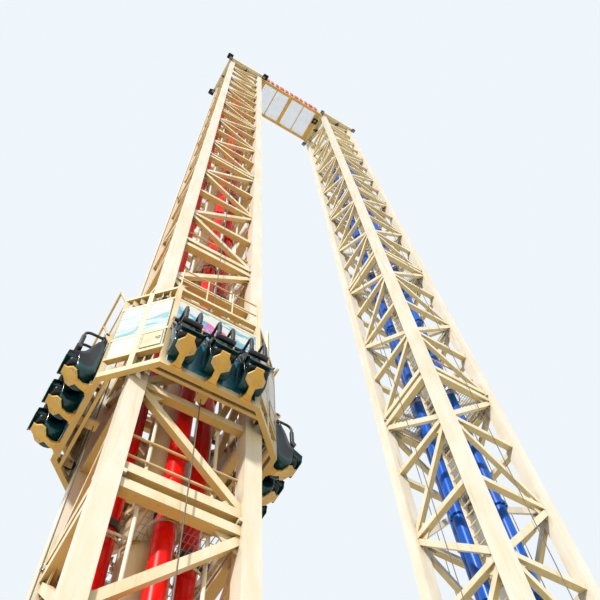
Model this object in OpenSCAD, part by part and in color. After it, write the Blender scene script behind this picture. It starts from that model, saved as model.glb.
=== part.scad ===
/* [Towers] */
// Distance between the leg axes of one tower
tower_w = 1065; // [1000:5:1200]
// Clear distance between the leg axes that face each other across the two towers
tower_gap = 2725; // [2600:5:3200]
// Outer width of a leg's square section
leg_w = 152; // [120:2:160]
// Height of one bay of bracing
bay_h = 1163; // [1120:1:1200]
// Bays in one bolted section of a tower
section_bays = 4; // [3:1:5]
// Bolted sections in a tower
sections = 6; // [5:1:6]
// Height of the lowest beam's middle above the underside of the base plates
base_h = 250; // [200:5:300]

/* [Bracing] */
// Height and depth of a plain cross beam
beam_w = 76; // [60:1:90]
// Height and depth of each of the two beams at a section joint
joint_beam_w = 92; // [80:1:100]
// Distance between the middles of the two beams at a section joint
joint_beam_gap = 168; // [150:2:200]
// Width of a diagonal bar
diagonal_w = 72; // [50:1:80]
// Depth of a diagonal bar
diagonal_d = 60; // [40:1:70]
// Thickness of the gusset plates where bars meet
gusset_t = 14; // [8:1:20]
// Reach of a gusset plate from the leg
gusset_l = 190; // [120:5:240]

/* [Feet and joint flanges] */
// Side of a base plate
plate_w = 360; // [300:5:420]
// Thickness of a base plate
plate_t = 30; // [20:1:40]
// Distance between the anchor bolt holes of a base plate
bolt_pitch = 290; // [240:5:300]
// Diameter of an anchor bolt hole
bolt_d = 27; // [20:1:32]
// Thickness of one flange at a section joint
flange_t = 18; // [10:1:24]
// How far a joint flange stands out from the leg
flange_out = 26; // [16:1:30]

/* [Cylinders and tank] */
// Diameter of a drive cylinder
cylinder_d = 156; // [120:2:180]
// Distance of a drive cylinder's axis inside the face of its tower
cylinder_in = 213; // [190:1:240]
// Height of a drive cylinder's lower end
cylinder_z0 = 900; // [860:10:1000]
// Bays that a drive cylinder reaches up
cylinder_bays = 19.5; // [10:0.5:19.5]
// Diameter of the air tank
tank_d = 396; // [364:2:420]
// Diameter of the air tank above its first flange
upper_d = 350; // [320:2:360]
// Height of the air tank's lower end
tank_z0 = 420; // [400:10:700]
// Diameter of a tank flange
tank_flange_d = 470; // [440:2:480]
// Thickness of a cylinder clamp
clamp_t = 16; // [10:1:24]
// Height of a cylinder clamp
clamp_h = 70; // [40:2:120]

/* [Hoist cables] */
// Diameter of a hoist cable
cable_d = 10; // [8:1:16]
// Distance of the outer run of a cable from the face of its tower
cable_out = 128; // [110:1:136]
// Width of a sheave
sheave_w = 34; // [26:1:40]
// Depth of the groove of a sheave
groove = 18; // [12:1:22]
// Distance of a sheave's middle from the nearest beam's middle
sheave_off = 262; // [250:1:280]

/* [Heads and bridge] */
// Overhang of a head frame past the leg axes
head_out = 150; // [120:2:170]
// Depth of a head frame's fascia
head_h = 300; // [200:5:320]
// Thickness of a head frame's members
head_t = 70; // [50:1:80]
// Height of a bridge beam
bridge_h = 150; // [110:2:180]
// Width of a bridge beam
bridge_w = 84; // [60:2:110]
// Height of the sign above the bridge
sign_h = 560; // [400:5:600]

/* [Access] */
// Width of a ladder between its rails' middles
ladder_w = 213; // [160:1:240]
// Distance between rungs
rung_pitch = 150; // [130:1:170]
// Thickness of a platform's floor
floor_t = 24; // [16:1:30]
// Clearance of a floor's holes round what passes through
floor_gap = 26; // [12:1:30]

/* [Gondolas] */
// Distance from the tower's middle to the gondola's side frames
car_a = 815; // [800:1:840]
// Distance from the tower's middle to the gondola's corner frames
car_b = 894; // [894:1:910]
// Thickness of the gondola's posts and rails
car_t = 50; // [36:1:50]
// Height of the gondola's posts
car_h = 1523; // [1480:1:1600]
// Height of the ring beam under the gondola
ring_h = 70; // [60:1:90]
// Height of the gondola's rails
rail_h = 42; // [30:1:50]
// Height of the lower rail above the ring beam's underside
low_rail = 267; // [260:1:280]
// Height of the middle rail above the ring beam's underside
mid_rail = 608; // [600:1:620]
// Height of the rail over the panels above the ring beam's underside
panel_rail = 1236; // [1200:1:1260]
// Thickness of the cladding panels
panel_t = 12; // [6:1:18]
// Height of gondola A's underside, raised as in use
car_a_z = 6020; // [2000:10:12000]
// Height of gondola B's underside, lowered for boarding
car_b_z = 620; // [620:10:900]
// Diameter of a guide roller
roller_d = 110; // [90:2:116]
// Width of a guide roller
roller_w = 38; // [26:1:44]
// Clearance between a guide roller and its leg
roller_gap = 5.5; // [5:0.5:8]

/* [Seats] */
// Distance between the middles of two seats of a row
seat_pitch = 320; // [312:1:322]
// Seats in the row on one side of a gondola
row_seats = 3; // [2:1:3]
// Width of a seat's pad
seat_w = 200; // [170:2:206]
// Reach of a seat from the gondola's side
seat_reach = 300; // [260:2:330]
// Height of a seat's underside
seat_z = 160; // [150:1:180]
// Height of a seat's top
seat_top = 700; // [640:2:700]
// Thickness of a seat's pan and back
seat_t = 70; // [50:1:80]
// Width of a seat's side bolster
bolster_w = 38; // [24:1:44]
// Thickness of a seat's shell
shell_t = 11; // [6:1:11]
// Width of the paddle under a seat
paddle_w = 168; // [120:2:190]

/* [Restraints] */
// Diameter of the shaft that a row of restraints turns on
shaft_d = 36; // [28:1:40]
// Distance of that shaft from the gondola's side
shaft_r = 62; // [60:1:70]
// Height of that shaft
shaft_z = 742; // [742:1:760]
// Diameter of a restraint's bars
bar_d = 26; // [20:1:30]
// Distance between the two bars of a restraint
bar_gap = 132; // [110:2:140]
// Reach of a restraint past its shaft
bar_reach = 180; // [160:2:190]
// Drop of a restraint below its shaft
bar_drop = 300; // [260:2:320]

/* [Hidden] */

cream = [0.96, 0.91, 0.80];
ochre = [0.86, 0.62, 0.22];
cylinder_red = [0.80, 0.07, 0.06];
cylinder_blue = [0.02, 0.32, 0.72];
dark = [0.13, 0.13, 0.14];
silver = [0.72, 0.74, 0.76];
white = [0.94, 0.95, 0.94];
teal = [0.02, 0.36, 0.42];

// Small play between pieces that seat on each other
seat_gap = 0.3;
// Radial play of a shaft in its bearing
bearing_play = 0.1;
bays = section_bays * sections;
tower_pitch = tower_w + tower_gap;
mid = tower_w / 2;
half_leg = leg_w / 2;
section_gap = 0.4;
leg_in = tower_w - half_leg;
function level(n) = base_h + n * bay_h;
function is_joint(n) = n > 0 && n < bays && n % section_bays == 0;
top_level = level(bays);
leg_top = top_level + beam_w / 2 + 20;
head_z0 = leg_top;
cylinder_z1 = min(level(cylinder_bays), level(bays) - 4 * bay_h);
tank_z1 = cylinder_z1 - bay_h / 2;

// Points of an arc about c, from angle a0 to angle a1
function arc(c, r, a0, a1, n = 6) = [for (i = [0:n]) let (a = a0 + (a1 - a0) * i / n) c + r * [cos(a), sin(a)]];
function reversed(p) = [for (i = [len(p) - 1:-1:0]) p[i]];

module at_middle() translate([mid, mid, 0]) children();
module four_sides() for (k = [0:3]) rotate([0, 0, 90 * k]) children();

// Legs, each drawn at its axis with the tower's inside towards +X and +Y
module leg_flange(z) {
    translate([-half_leg, -half_leg, z - flange_t])
        cube([leg_w + flange_out, leg_w + flange_out, 2 * flange_t]);
}

// The column is cut at each bolted joint, where the flange faces of two sections meet
module leg_column() {
    difference() {
        union() {
            translate([-half_leg, -half_leg, plate_t]) cube([leg_w, leg_w, leg_top - plate_t]);
            for (n = [section_bays:section_bays:bays - 1]) leg_flange(level(n));
        }
        for (n = [section_bays:section_bays:bays - 1])
            translate([-leg_w, -leg_w, level(n) - section_gap / 2]) cube([3 * leg_w, 3 * leg_w, section_gap]);
    }
}

module foot_rib(angle) {
    rib_l = plate_w / 2 - half_leg - 10;
    rotate([0, 0, angle]) translate([half_leg, 5, plate_t]) rotate([90, 0, 0])
        linear_extrude(10) polygon([[0, 0], [rib_l, 0], [rib_l, 20], [20, 150], [0, 150]]);
}

module leg() {
    difference() {
        translate([-plate_w / 2, -plate_w / 2, 0]) cube([plate_w, plate_w, plate_t]);
        for (sx = [-1, 1], sy = [-1, 1])
            translate([sx * bolt_pitch / 2, sy * bolt_pitch / 2, -1]) cylinder(d = bolt_d, h = plate_t + 2, $fn = 32);
    }
    leg_column();
    for (k = [0:3]) foot_rib(90 * k);
}

module legs() {
    color(cream) for (ix = [0, 1], iy = [0, 1])
        translate([ix * tower_w, iy * tower_w, 0]) mirror([ix, 0, 0]) mirror([0, iy, 0]) leg();
}

// One braced side, along +X from the leg axis at 0; the bars meet at the far leg on odd levels if lead is 1
function beam_mid(n, side) = level(n) + (is_joint(n) ? side * joint_beam_gap / 2 : 0);
function meets_start(n, lead) = (n + lead) % 2 == 1;

module level_beam(z, h) translate([half_leg, z - h / 2]) square([tower_w - leg_w, h]);

module diagonal(z0, z1, from_start) {
    rise = (z1 - z0) / tower_w;
    half_v = diagonal_w / 2 * sqrt(1 + rise * rise);
    za = from_start ? z0 + rise * half_leg : z1 - rise * half_leg;
    zb = from_start ? z1 - rise * half_leg : z0 + rise * half_leg;
    polygon([[half_leg, za - half_v], [leg_in, zb - half_v], [leg_in, zb + half_v], [half_leg, za + half_v]]);
}

// Half of a gusset, from the beam towards side (up 1, down -1)
module gusset(n, side, from_start) {
    x0 = from_start ? half_leg : leg_in;
    d = from_start ? 1 : -1;
    z = beam_mid(n, side);
    flat = is_joint(n) ? joint_beam_w / 2 : beam_w / 2;
    foot = is_joint(n) ? -joint_beam_w / 2 : 0;
    polygon([[x0, z + side * foot], [x0 + d * gusset_l, z + side * foot], [x0 + d * gusset_l, z + side * flat],
             [x0 + d * gusset_l * 0.55, z + side * gusset_l * 0.72], [x0, z + side * gusset_l]]);
}

module slab(t) rotate([90, 0, 0]) translate([0, 0, -t / 2]) linear_extrude(t) children();

module lattice_side(lead) {
    slab(beam_w) for (n = [0:bays]) if (!is_joint(n)) level_beam(level(n), beam_w);
    slab(joint_beam_w) for (n = [0:bays]) if (is_joint(n)) for (s = [-1, 1]) level_beam(beam_mid(n, s), joint_beam_w);
    slab(diagonal_d) for (n = [0:bays - 1])
        diagonal(beam_mid(n, 1), beam_mid(n + 1, -1), meets_start(n, lead));
    slab(gusset_t) for (n = [0:bays]) for (up = [-1, 1])
        if (level(n) + up * gusset_l > level(0) && n + up <= bays) gusset(n, up, meets_start(n, lead));
}

module lattice(side) {
    color(cream) {
        if (side == 0) lattice_side(0);
        if (side == 1) translate([tower_w, 0, 0]) rotate([0, 0, 90]) lattice_side(1);
        if (side == 2) translate([0, tower_w, 0]) lattice_side(1);
        if (side == 3) rotate([0, 0, 90]) lattice_side(0);
    }
}

// Drive cylinders, one behind the middle of each side
cylinder_r = mid - cylinder_in;

module cylinder_pipe() {
    cap_d = cylinder_d + 44;
    translate([0, -cylinder_r, cylinder_z0]) cylinder(d = cylinder_d, h = cylinder_z1 - cylinder_z0, $fn = 48);
    for (z = [cylinder_z0, cylinder_z1 - 30])
        translate([0, -cylinder_r, z]) cylinder(d = cap_d, h = 30, $fn = 48);
    for (n = [2:4:cylinder_bays - 1])
        translate([0, -cylinder_r, level(n) - 24]) cylinder(d = cap_d, h = 48, $fn = 48);
}

module cylinders(c) color(c) at_middle() four_sides() cylinder_pipe();

clamp_levels = [for (n = [section_bays:section_bays:min(bays - 1, cylinder_bays)]) n];

// Ring round a cylinder with an arm that bolts to the upper beam of a section joint
module clamp() {
    ring_d = cylinder_d + 2 * seat_gap + 2 * clamp_t;
    arm_y = mid - joint_beam_w / 2 - seat_gap;
    difference() {
        union() {
            translate([0, -cylinder_r, 0]) cylinder(d = ring_d, h = clamp_h, $fn = 48);
            translate([-clamp_h / 2, -arm_y, 0]) cube([clamp_h, arm_y - cylinder_r, clamp_h]);
        }
        translate([0, -cylinder_r, -1]) cylinder(d = cylinder_d + 2 * seat_gap, h = clamp_h + 2, $fn = 48);
    }
}

module clamps(c) {
    color(c) at_middle() four_sides()
        for (n = clamp_levels) translate([0, 0, beam_mid(n, 1) - clamp_h / 2]) clamp();
    color(c) at_middle() four_sides() base_saddle();
}

// Stand that carries a cylinder's lower end from the second beam
module base_saddle() {
    arm_y = mid - beam_w / 2 - seat_gap;
    z1 = cylinder_z0 - seat_gap;
    translate([-70, -arm_y, level(1) - 40]) cube([140, arm_y - cylinder_r - cylinder_d / 2 - 4, 80]);
    translate([-70, -arm_y, z1 - 26]) cube([30, arm_y - cylinder_r + 60, 26]);
    translate([40, -arm_y, z1 - 26]) cube([30, arm_y - cylinder_r + 60, 26]);
    translate([-70, -arm_y, z1 - 26]) cube([140, 24, level(1) - z1]);
}

// Air tank on legs: a wide lower shell, a neck above the first flange and a slimmer upper shell with flanges
tank_flange_h = 44;
neck_h = 90;
tank_levels = [for (n = [section_bays:section_bays:cylinder_bays - 2]) n];
function tank_flange_z(n) = level(n) + bay_h * 0.21;

module tank_profile() {
    r = upper_d / 2;
    dome = r * 0.5;
    neck_z = tank_flange_z(section_bays) + tank_flange_h - 2;
    polygon(concat([[0, tank_z0], [tank_d / 2, tank_z0], [tank_d / 2, neck_z], [r, neck_z + neck_h], [r, tank_z1 - dome]],
                   [for (a = [10:10:80]) [r * cos(a), tank_z1 - dome + dome * sin(a)]], [[0, tank_z1]]));
}

module air_tank() {
    color([0.92, 0.84, 0.67]) at_middle() {
        rotate_extrude($fn = 64) tank_profile();
        for (n = tank_levels) translate([0, 0, tank_flange_z(n)])
            cylinder(d = n == section_bays ? tank_flange_d : tank_flange_d + upper_d - tank_d, h = tank_flange_h, $fn = 64);
        translate([0, 0, tank_z0 - 1]) cylinder(d = tank_flange_d, h = 40, $fn = 64);
        for (k = [0:3]) rotate([0, 0, 45 + 90 * k]) tank_leg();
    }
}

module tank_leg() {
    translate([tank_d / 2 - 50, -40, 0]) cube([80, 80, tank_z0]);
    translate([tank_d / 2 - 80, -70, 0]) cube([140, 140, 16]);
}

// Floors at the section joints, hung inside the lower beams
floor_half = mid - joint_beam_w / 2 - seat_gap;
hatch_l = 340;
tab_w = 60;
hatch_side = 60;

module floor_outline() {
    corner = half_leg + flange_out + seat_gap;
    inset = mid - corner;
    difference() {
        square(2 * floor_half, center = true);
        for (sx = [-1, 1], sy = [-1, 1])
            translate([sx * (inset + floor_half) / 2 + sx * 10, sy * (inset + floor_half) / 2 + sy * 10])
                square(floor_half - inset + 20, center = true);
    }
}

// Floor with holes for the cylinders and the ladder, and for the tank and the pipes where the tank's d is over 0
module platform(d) {
    hatch_y = ladder_y0 - mid;
    difference() {
        linear_extrude(floor_t) floor_outline();
        four_sides() translate([0, -cylinder_r, -1])
            cylinder(d = cylinder_d + 2 * clamp_t + 2 * floor_gap, h = floor_t + 2, $fn = 48);
        if (d > 0) translate([0, 0, -1]) cylinder(d = d + 2 * floor_gap, h = floor_t + 2, $fn = 48);
        translate([-mid, hatch_y - hatch_side, -1])
            cube([hatch_l, ladder_w + 2 * hatch_side, floor_t + 2]);
        if (d > 0) for (s = [-1, 1]) translate([s * pipe_half, pipe_y - mid, -1])
            cylinder(d = pipe_d + 16, h = floor_t + 2, $fn = 24);
    }
    if (d > 0) rotate([0, 0, 45]) four_sides()
        translate([d / 2 + seat_gap, -tab_w / 2, 0]) cube([floor_gap + 10, tab_w, floor_t]);
}

module platforms(tank) {
    color(cream) for (n = [section_bays:section_bays:bays - 1]) {
        translate([mid, mid, level(n) - joint_beam_gap / 2 - floor_t / 2])
            platform(tank ? (n > section_bays ? upper_d : tank_d) : 0);
        for (h = hand_rail_up) hand_rails(level(n) + h);
    }
}

// Pair of air pipes inside the front, held by a block on each plain beam
pipe_d = 30;
pipe_half = 266;
pipe_y = joint_beam_w / 2 + 6 + pipe_d / 2;

module air_pipes() {
    block_y = beam_w / 2 + seat_gap;
    color(cream) for (s = [-1, 1]) translate([mid + s * pipe_half, 0, 0]) {
        translate([0, pipe_y, plate_t]) cylinder(d = pipe_d, h = cylinder_z1 - plate_t, $fn = 24);
        for (n = [0:floor(cylinder_bays)]) if (!is_joint(n))
            translate([-26, block_y, level(n) - 16]) cube([52, pipe_y + pipe_d / 2 + 4 - block_y, 32]);
    }
}

// Thin rails between the legs, just inside the front and back above each floor
hand_rail_d = 22;
hand_rail_up = [320, 560];

module hand_rails(z) {
    inside = diagonal_d / 2 + hand_rail_d / 2 + seat_gap;
    for (y = [inside, tower_w - inside])
        translate([half_leg + seat_gap, y, z]) rotate([0, 90, 0])
            cylinder(d = hand_rail_d, h = tower_w - leg_w - 2 * seat_gap, $fn = 16);
}

// Ladder inside the left side, beside the front leg: flat rails with round rungs let into them
ladder_y0 = half_leg + 34;
ladder_x = joint_beam_w / 2 + 34;
rail_t = 12;
rail_d = 44;
rung_d = 20;

module ladder() {
    z0 = plate_t + 60;
    z1 = top_level - 120;
    color(cream) {
        for (y = [ladder_y0, ladder_y0 + ladder_w])
            translate([ladder_x - rail_d / 2, y - rail_t / 2, z0]) cube([rail_d, rail_t, z1 - z0]);
        for (z = [z0 + 80:rung_pitch:z1 - 20])
            translate([ladder_x, ladder_y0, z]) rotate([-90, 0, 0]) cylinder(d = rung_d, h = ladder_w, $fn = 16);
        for (n = [0:bays - 1]) if (!is_joint(n)) for (y = [ladder_y0, ladder_y0 + ladder_w])
            translate([beam_w / 2 + seat_gap, y - 12, level(n) - 14]) cube([ladder_x - beam_w / 2, 24, 28]);
    }
}

// Head frame with its overhanging fascia and the soffit that closes the overhang from below
soffit_t = 12;

module head() {
    lo = -head_out;
    w = tower_w + 2 * head_out;
    rim = head_out + half_leg;
    color(cream) {
        translate([lo, lo, head_z0]) difference() {
            cube([w, w, soffit_t]);
            translate([rim, rim, -1]) cube([w - 2 * rim, w - 2 * rim, soffit_t + 2]);
        }
        translate([lo, lo, head_z0]) difference() {
            cube([w, w, head_h]);
            translate([head_t, head_t, -1]) cube([w - 2 * head_t, w - 2 * head_t, head_h + 2]);
        }
        for (y = [-half_leg, tower_w - half_leg]) translate([lo, y, head_z0]) cube([w, leg_w, 110]);
        for (x = [-half_leg, tower_w - half_leg]) translate([x, lo, head_z0]) cube([leg_w, w, 110]);
        translate([lo, mid - 45, head_z0]) cube([w, 90, 110]);
    }
}

// Sheave in its fork, above the lowest beam or below the top one
sheave_y = (cylinder_in - cable_out) / 2;
sheave_pitch_d = cable_out + cylinder_in;
rim_d = sheave_pitch_d - cable_d + 2 * groove;

module sheave_wheel() {
    r_groove = sheave_pitch_d / 2 - cable_d / 2 - seat_gap;
    rotate([0, 90, 0]) rotate_extrude($fn = 64)
        polygon([[20, -sheave_w / 2 - 6], [46, -sheave_w / 2 - 6], [46, -10], [r_groove - 30, -10], [r_groove - 30, -sheave_w / 2],
                 [rim_d / 2, -sheave_w / 2], [rim_d / 2, -sheave_w / 2 + 5], [r_groove, -cable_d / 2 - 1],
                 [r_groove, cable_d / 2 + 1], [rim_d / 2, sheave_w / 2 - 5], [rim_d / 2, sheave_w / 2],
                 [r_groove - 30, sheave_w / 2], [r_groove - 30, 10], [46, 10], [46, sheave_w / 2 + 6], [20, sheave_w / 2 + 6]]);
}

module fork(up) {
    cheek_x = sheave_w / 2 + 6 + 3;
    reach = sheave_off - beam_w / 2 - seat_gap;
    for (s = [-1, 1]) translate([s * (cheek_x + 7) - 7, 0, 0]) rotate([90, 0, 90]) linear_extrude(14)
        polygon([[-38, -up * reach], [38, -up * reach], [sheave_y + 34, -up * 40], [sheave_y + 34, up * 34],
                 [sheave_y - 34, up * 34], [sheave_y - 34, -up * 40]]);
    translate([-cheek_x - 20, sheave_y, 0]) rotate([0, 90, 0]) cylinder(d = 40 - 2 * seat_gap, h = 2 * cheek_x + 40, $fn = 32);
}

module sheave(up) {
    translate([0, sheave_y, 0]) sheave_wheel();
    fork(up);
}

module sheaves() {
    color(dark) at_middle() four_sides() translate([0, -mid, 0]) {
        translate([0, 0, level(0) + sheave_off]) sheave(1);
        translate([0, 0, top_level - sheave_off]) sheave(-1);
    }
}

// Cable loop: outer run, a half turn over each sheave, and short runs into the cylinder's ends
module cable() {
    z0 = level(0) + sheave_off;
    z1 = top_level - sheave_off;
    translate([0, -cable_out, z0]) cylinder(d = cable_d, h = z1 - z0, $fn = 16);
    translate([0, cylinder_in, z0]) cylinder(d = cable_d, h = cylinder_z0 - z0 - seat_gap, $fn = 16);
    translate([0, cylinder_in, cylinder_z1 + seat_gap]) cylinder(d = cable_d, h = z1 - cylinder_z1 - seat_gap, $fn = 16);
    translate([0, sheave_y, z1]) rotate([90, 0, 90]) rotate_extrude(angle = 180, $fn = 64)
        translate([sheave_pitch_d / 2, 0]) circle(d = cable_d, $fn = 16);
    translate([0, sheave_y, z0]) rotate([90, 0, 90]) rotate([0, 0, 180]) rotate_extrude(angle = 180, $fn = 64)
        translate([sheave_pitch_d / 2, 0]) circle(d = cable_d, $fn = 16);
}

module cables() color(dark) at_middle() four_sides() translate([0, -mid, 0]) cable();

// Bridge between the two heads, level with the tops of the legs
bridge_x0 = tower_w + head_out + seat_gap;
bridge_l = tower_gap - 2 * head_out - 2 * seat_gap;
bridge_z0 = head_z0;

module bridge_beams() {
    color(ochre) translate([bridge_x0, 0, bridge_z0]) {
        for (y = [0, tower_w]) translate([0, y - bridge_w / 2, 0]) cube([bridge_l, bridge_w, bridge_h]);
        translate([bridge_l / 2 - 55, 0, 0]) cube([110, tower_w, bridge_h]);
        for (x = [0, bridge_l - 150]) translate([x, 0, 0]) cube([150, tower_w, bridge_h]);
        for (x = [0.27, 0.73]) translate([x * bridge_l - 14, 0, bridge_h - 60]) cube([28, tower_w, 40]);
    }
}

module bridge_floor() {
    color([0.55, 0.60, 0.66]) translate([bridge_x0, -bridge_w / 2, bridge_z0 + bridge_h])
        cube([bridge_l, tower_w + bridge_w, floor_t]);
}

module bridge_sign() {
    z = bridge_z0 + bridge_h + floor_t + seat_gap;
    post_pitch = bridge_l / 6;
    color("firebrick") translate([bridge_x0, -bridge_w / 2, z]) {
        translate([30, 0, 20]) cube([bridge_l - 60, 24, sign_h]);
        for (i = [0:6]) translate([max(30, min(i * post_pitch, bridge_l - 70)), 0, 0]) cube([40, 60, sign_h]);
    }
}

// Eight-sided outline: sides at distance a, corner sides at distance b
function eight(a, b) = let (c = b * sqrt(2) - a)
    [[a, -c], [a, c], [c, a], [-c, a], [-a, c], [-a, -c], [-c, -a], [c, -a]];
corner_c = car_b * sqrt(2) - car_a;

module ring(h, t = car_t) {
    linear_extrude(h) difference() {
        polygon(eight(car_a + t / 2, car_b + t / 2));
        polygon(eight(car_a - t / 2, car_b - t / 2));
    }
}

module upright(x, y, turn, h = car_h) {
    translate([x, y, 0]) rotate([0, 0, turn]) translate([-car_t / 2, -car_t / 2, 0]) cube([car_t, car_t, h]);
}

// Guide beams, lugs and roller forks inside the gondola's frame
guide_in = 70;
guide_w = 30;
lug_l = 34;
lug_t = 30;
fork_t = 8;
fork_gap = 4;
fork_h = 120;
roller_y = mid + half_leg + roller_gap + roller_d / 2;
roller_low = ring_h + roller_d / 2 + 10;
roller_high = car_h - rail_h - roller_d / 2 - 10;

module guide_beam(z, h) {
    half = car_b * sqrt(2) - car_a + guide_in;
    translate([-half + 10, -car_a + guide_in - guide_w / 2, z]) cube([2 * half - 20, guide_w, h]);
}

// Lug on the middle of a side, where the hoist cable takes hold of the gondola
module cable_lug(z) {
    y = mid + cable_out;
    translate([0, 0, z]) difference() {
        translate([-45, -car_a, 0]) cube([90, car_a - y + lug_l, lug_t]);
        translate([0, -y, -1]) cylinder(d = cable_d + 2 * seat_gap, h = lug_t + 2, $fn = 32);
    }
}

// Two cheeks of a guide roller's fork, from the frame to past the roller's axle
module roller_fork(side, z) {
    for (s = [-1, 1]) {
        x = mid + s * (roller_w / 2 + fork_gap + fork_t / 2);
        y_out = (car_b + car_t / 4) * sqrt(2) - x;
        translate([side * x - fork_t / 2, -y_out, z]) cube([fork_t, y_out - roller_y + 24, fork_h]);
    }
}

module bearing_plate(x) {
    eye = shaft_d / 2 + 14;
    t = 12;
    translate([x - t / 2, -car_a, 0]) rotate([90, 0, 90]) linear_extrude(t) difference() {
        union() {
            translate([-shaft_r, shaft_z]) circle(r = eye, $fn = 32);
            polygon([[-car_t / 2, mid_rail], [-car_t / 2, shaft_z + 10], [-shaft_r, shaft_z + 10],
                     [-shaft_r - 24, shaft_z - 16], [-car_t / 2 - 12, mid_rail + 20], [-car_t / 2 - 12, mid_rail]]);
        }
        translate([-shaft_r, shaft_z]) circle(d = shaft_d + 2 * bearing_play, $fn = 32);
    }
}

row_half = (row_seats - 1) / 2 * seat_pitch;
row_x = [for (i = [0:row_seats - 1]) -row_half + i * seat_pitch];
shell_w = seat_w + 2 * (shell_t + seat_gap);
bearing_x = concat([-row_half - shell_w / 2 - 8], [for (i = [0:row_seats - 2]) -row_half + (i + 0.5) * seat_pitch],
                   [row_half + shell_w / 2 + 8]);

// Rails on top of the gondola: stout ones that lean out on two sides, thin upright ones on the others
guard_out = 96;
guard_up = 167;
guard_d = 24;
thin_up = 510;
thin_d = 16;

module guard_rail() {
    lean = atan2(guard_out, guard_up);
    l = sqrt(guard_out * guard_out + guard_up * guard_up);
    half = corner_c - car_t / 2;
    for (x = [-half, 0, half])
        translate([x, -car_a, car_h - rail_h / 2]) rotate([lean, 0, 0]) cylinder(d = guard_d, h = l, $fn = 24);
    translate([-half - guard_d / 2, -car_a - guard_out, car_h - rail_h / 2 + guard_up]) rotate([0, 90, 0])
        cylinder(d = guard_d, h = 2 * half + guard_d, $fn = 24);
}

module thin_rail() {
    half = corner_c - thin_d;
    for (i = [0:3])
        translate([-half + i * 2 * half / 3, -car_a, car_h - rail_h / 2]) cylinder(d = thin_d, h = thin_up + rail_h / 2, $fn = 16);
    for (z = [car_h + thin_up * 0.52, car_h + thin_up]) translate([-half - thin_d / 2, -car_a, z]) rotate([0, 90, 0])
        cylinder(d = thin_d, h = 2 * half + thin_d, $fn = 16);
}

// Flat bar that stands up past the front right corner post
corner_bar_w = 48;
corner_bar_z0 = 1180;
corner_bar_l = 720;

module corner_bar() {
    rotate([0, 0, 45]) translate([-corner_bar_w / 2, -car_b - car_t / 2 - 14, corner_bar_z0])
        cube([corner_bar_w, 24, corner_bar_l]);
}

module car_side() {
    guide_beam(0, ring_h);
    guide_beam(car_h - rail_h, rail_h);
    cable_lug(ring_h - lug_t - 10);
    cable_lug(car_h - rail_h);
    for (s = [-1, 1]) {
        roller_fork(s, ring_h - 10);
        roller_fork(s, car_h - rail_h - fork_h + 10);
        upright(s * (corner_c - car_t / 4), -car_a, 0);
        upright(s * car_a, -(corner_c - car_t / 4), 0);
    }
    upright(car_b / sqrt(2), -car_b / sqrt(2), 45);
    for (x = bearing_x) bearing_plate(x);
    for (x = [for (i = [0:row_seats - 2]) -row_half + (i + 0.5) * seat_pitch]) upright(x, -car_a, 0, mid_rail + rail_h);
}

module car_frame() {
    ring(ring_h);
    for (z = [low_rail, mid_rail, panel_rail, car_h - rail_h]) translate([0, 0, z]) ring(rail_h);
    four_sides() car_side();
    for (k = [1, 3]) rotate([0, 0, 90 * k]) guard_rail();
    for (k = [0, 2]) rotate([0, 0, 90 * k]) thin_rail();
    corner_bar();
}

// Cladding: one wide panel over each row of seats, four small ones on each corner side
module side_panel() {
    half = corner_c - car_t / 4 - car_t / 2 - seat_gap;
    z0 = mid_rail + rail_h + seat_gap;
    translate([-half, -car_a - car_t / 2 + 2, z0]) cube([2 * half, panel_t, panel_rail - seat_gap - z0]);
}

module corner_panels() {
    far = ((car_b + car_t / 4) * sqrt(2) - 2 * (corner_c + car_t / 4)) / sqrt(2) - 6;
    near = car_t / 2 + seat_gap;
    for (s = [-1, 1]) for (z = [[low_rail + rail_h, mid_rail], [mid_rail + rail_h, panel_rail]])
        translate([s > 0 ? near : -far, -car_b - car_t / 2 + 2, z[0] + seat_gap])
            cube([far - near, panel_t, z[1] - z[0] - 2 * seat_gap]);
}

module car_panels() {
    four_sides() side_panel();
    rotate([0, 0, 45]) four_sides() corner_panels();
}

// Guide rollers with their hubs, between the cheeks of the forks
module roller(x, z) {
    hub_w = roller_w + 2 * fork_gap - 2 * seat_gap;
    translate([x, -roller_y, z]) rotate([0, 90, 0]) rotate_extrude($fn = 48)
        polygon([[0, -hub_w / 2], [22, -hub_w / 2], [22, -12], [roller_d / 2 - 18, -12], [roller_d / 2 - 18, -roller_w / 2],
                 [roller_d / 2 - 4, -roller_w / 2], [roller_d / 2, -roller_w / 2 + 4], [roller_d / 2, roller_w / 2 - 4],
                 [roller_d / 2 - 4, roller_w / 2], [roller_d / 2 - 18, roller_w / 2], [roller_d / 2 - 18, 12], [22, 12],
                 [22, hub_w / 2], [0, hub_w / 2]]);
}

module car_rollers() four_sides() for (s = [-1, 1]) for (z = [roller_low, roller_high]) roller(s * mid, z);

// Side outline of a seat, grown by o all round: upright back, deep bow under it, underside rising to the front lip
seat_r0 = 46;
seat_low = 76;
bow_r = 75;
edge_r = 26;
bow_c = [-seat_r0 - bow_r, seat_low + bow_r];
lip_c = [-seat_reach + edge_r, seat_z + edge_r];
under_a = 180 - atan2(lip_c[1] - bow_c[1], bow_c[0] - lip_c[0]) + acos((bow_r - edge_r) / norm(lip_c - bow_c));

function polar(c, r, a) = [c[0] + r * cos(a), c[1] + r * sin(a)];
function seat_outer(o, top) = concat(
    [[-seat_r0 + o, top]], arc(bow_c, bow_r + o, 0, under_a - 360), arc(lip_c, edge_r + o, under_a, 180, 5));

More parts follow.
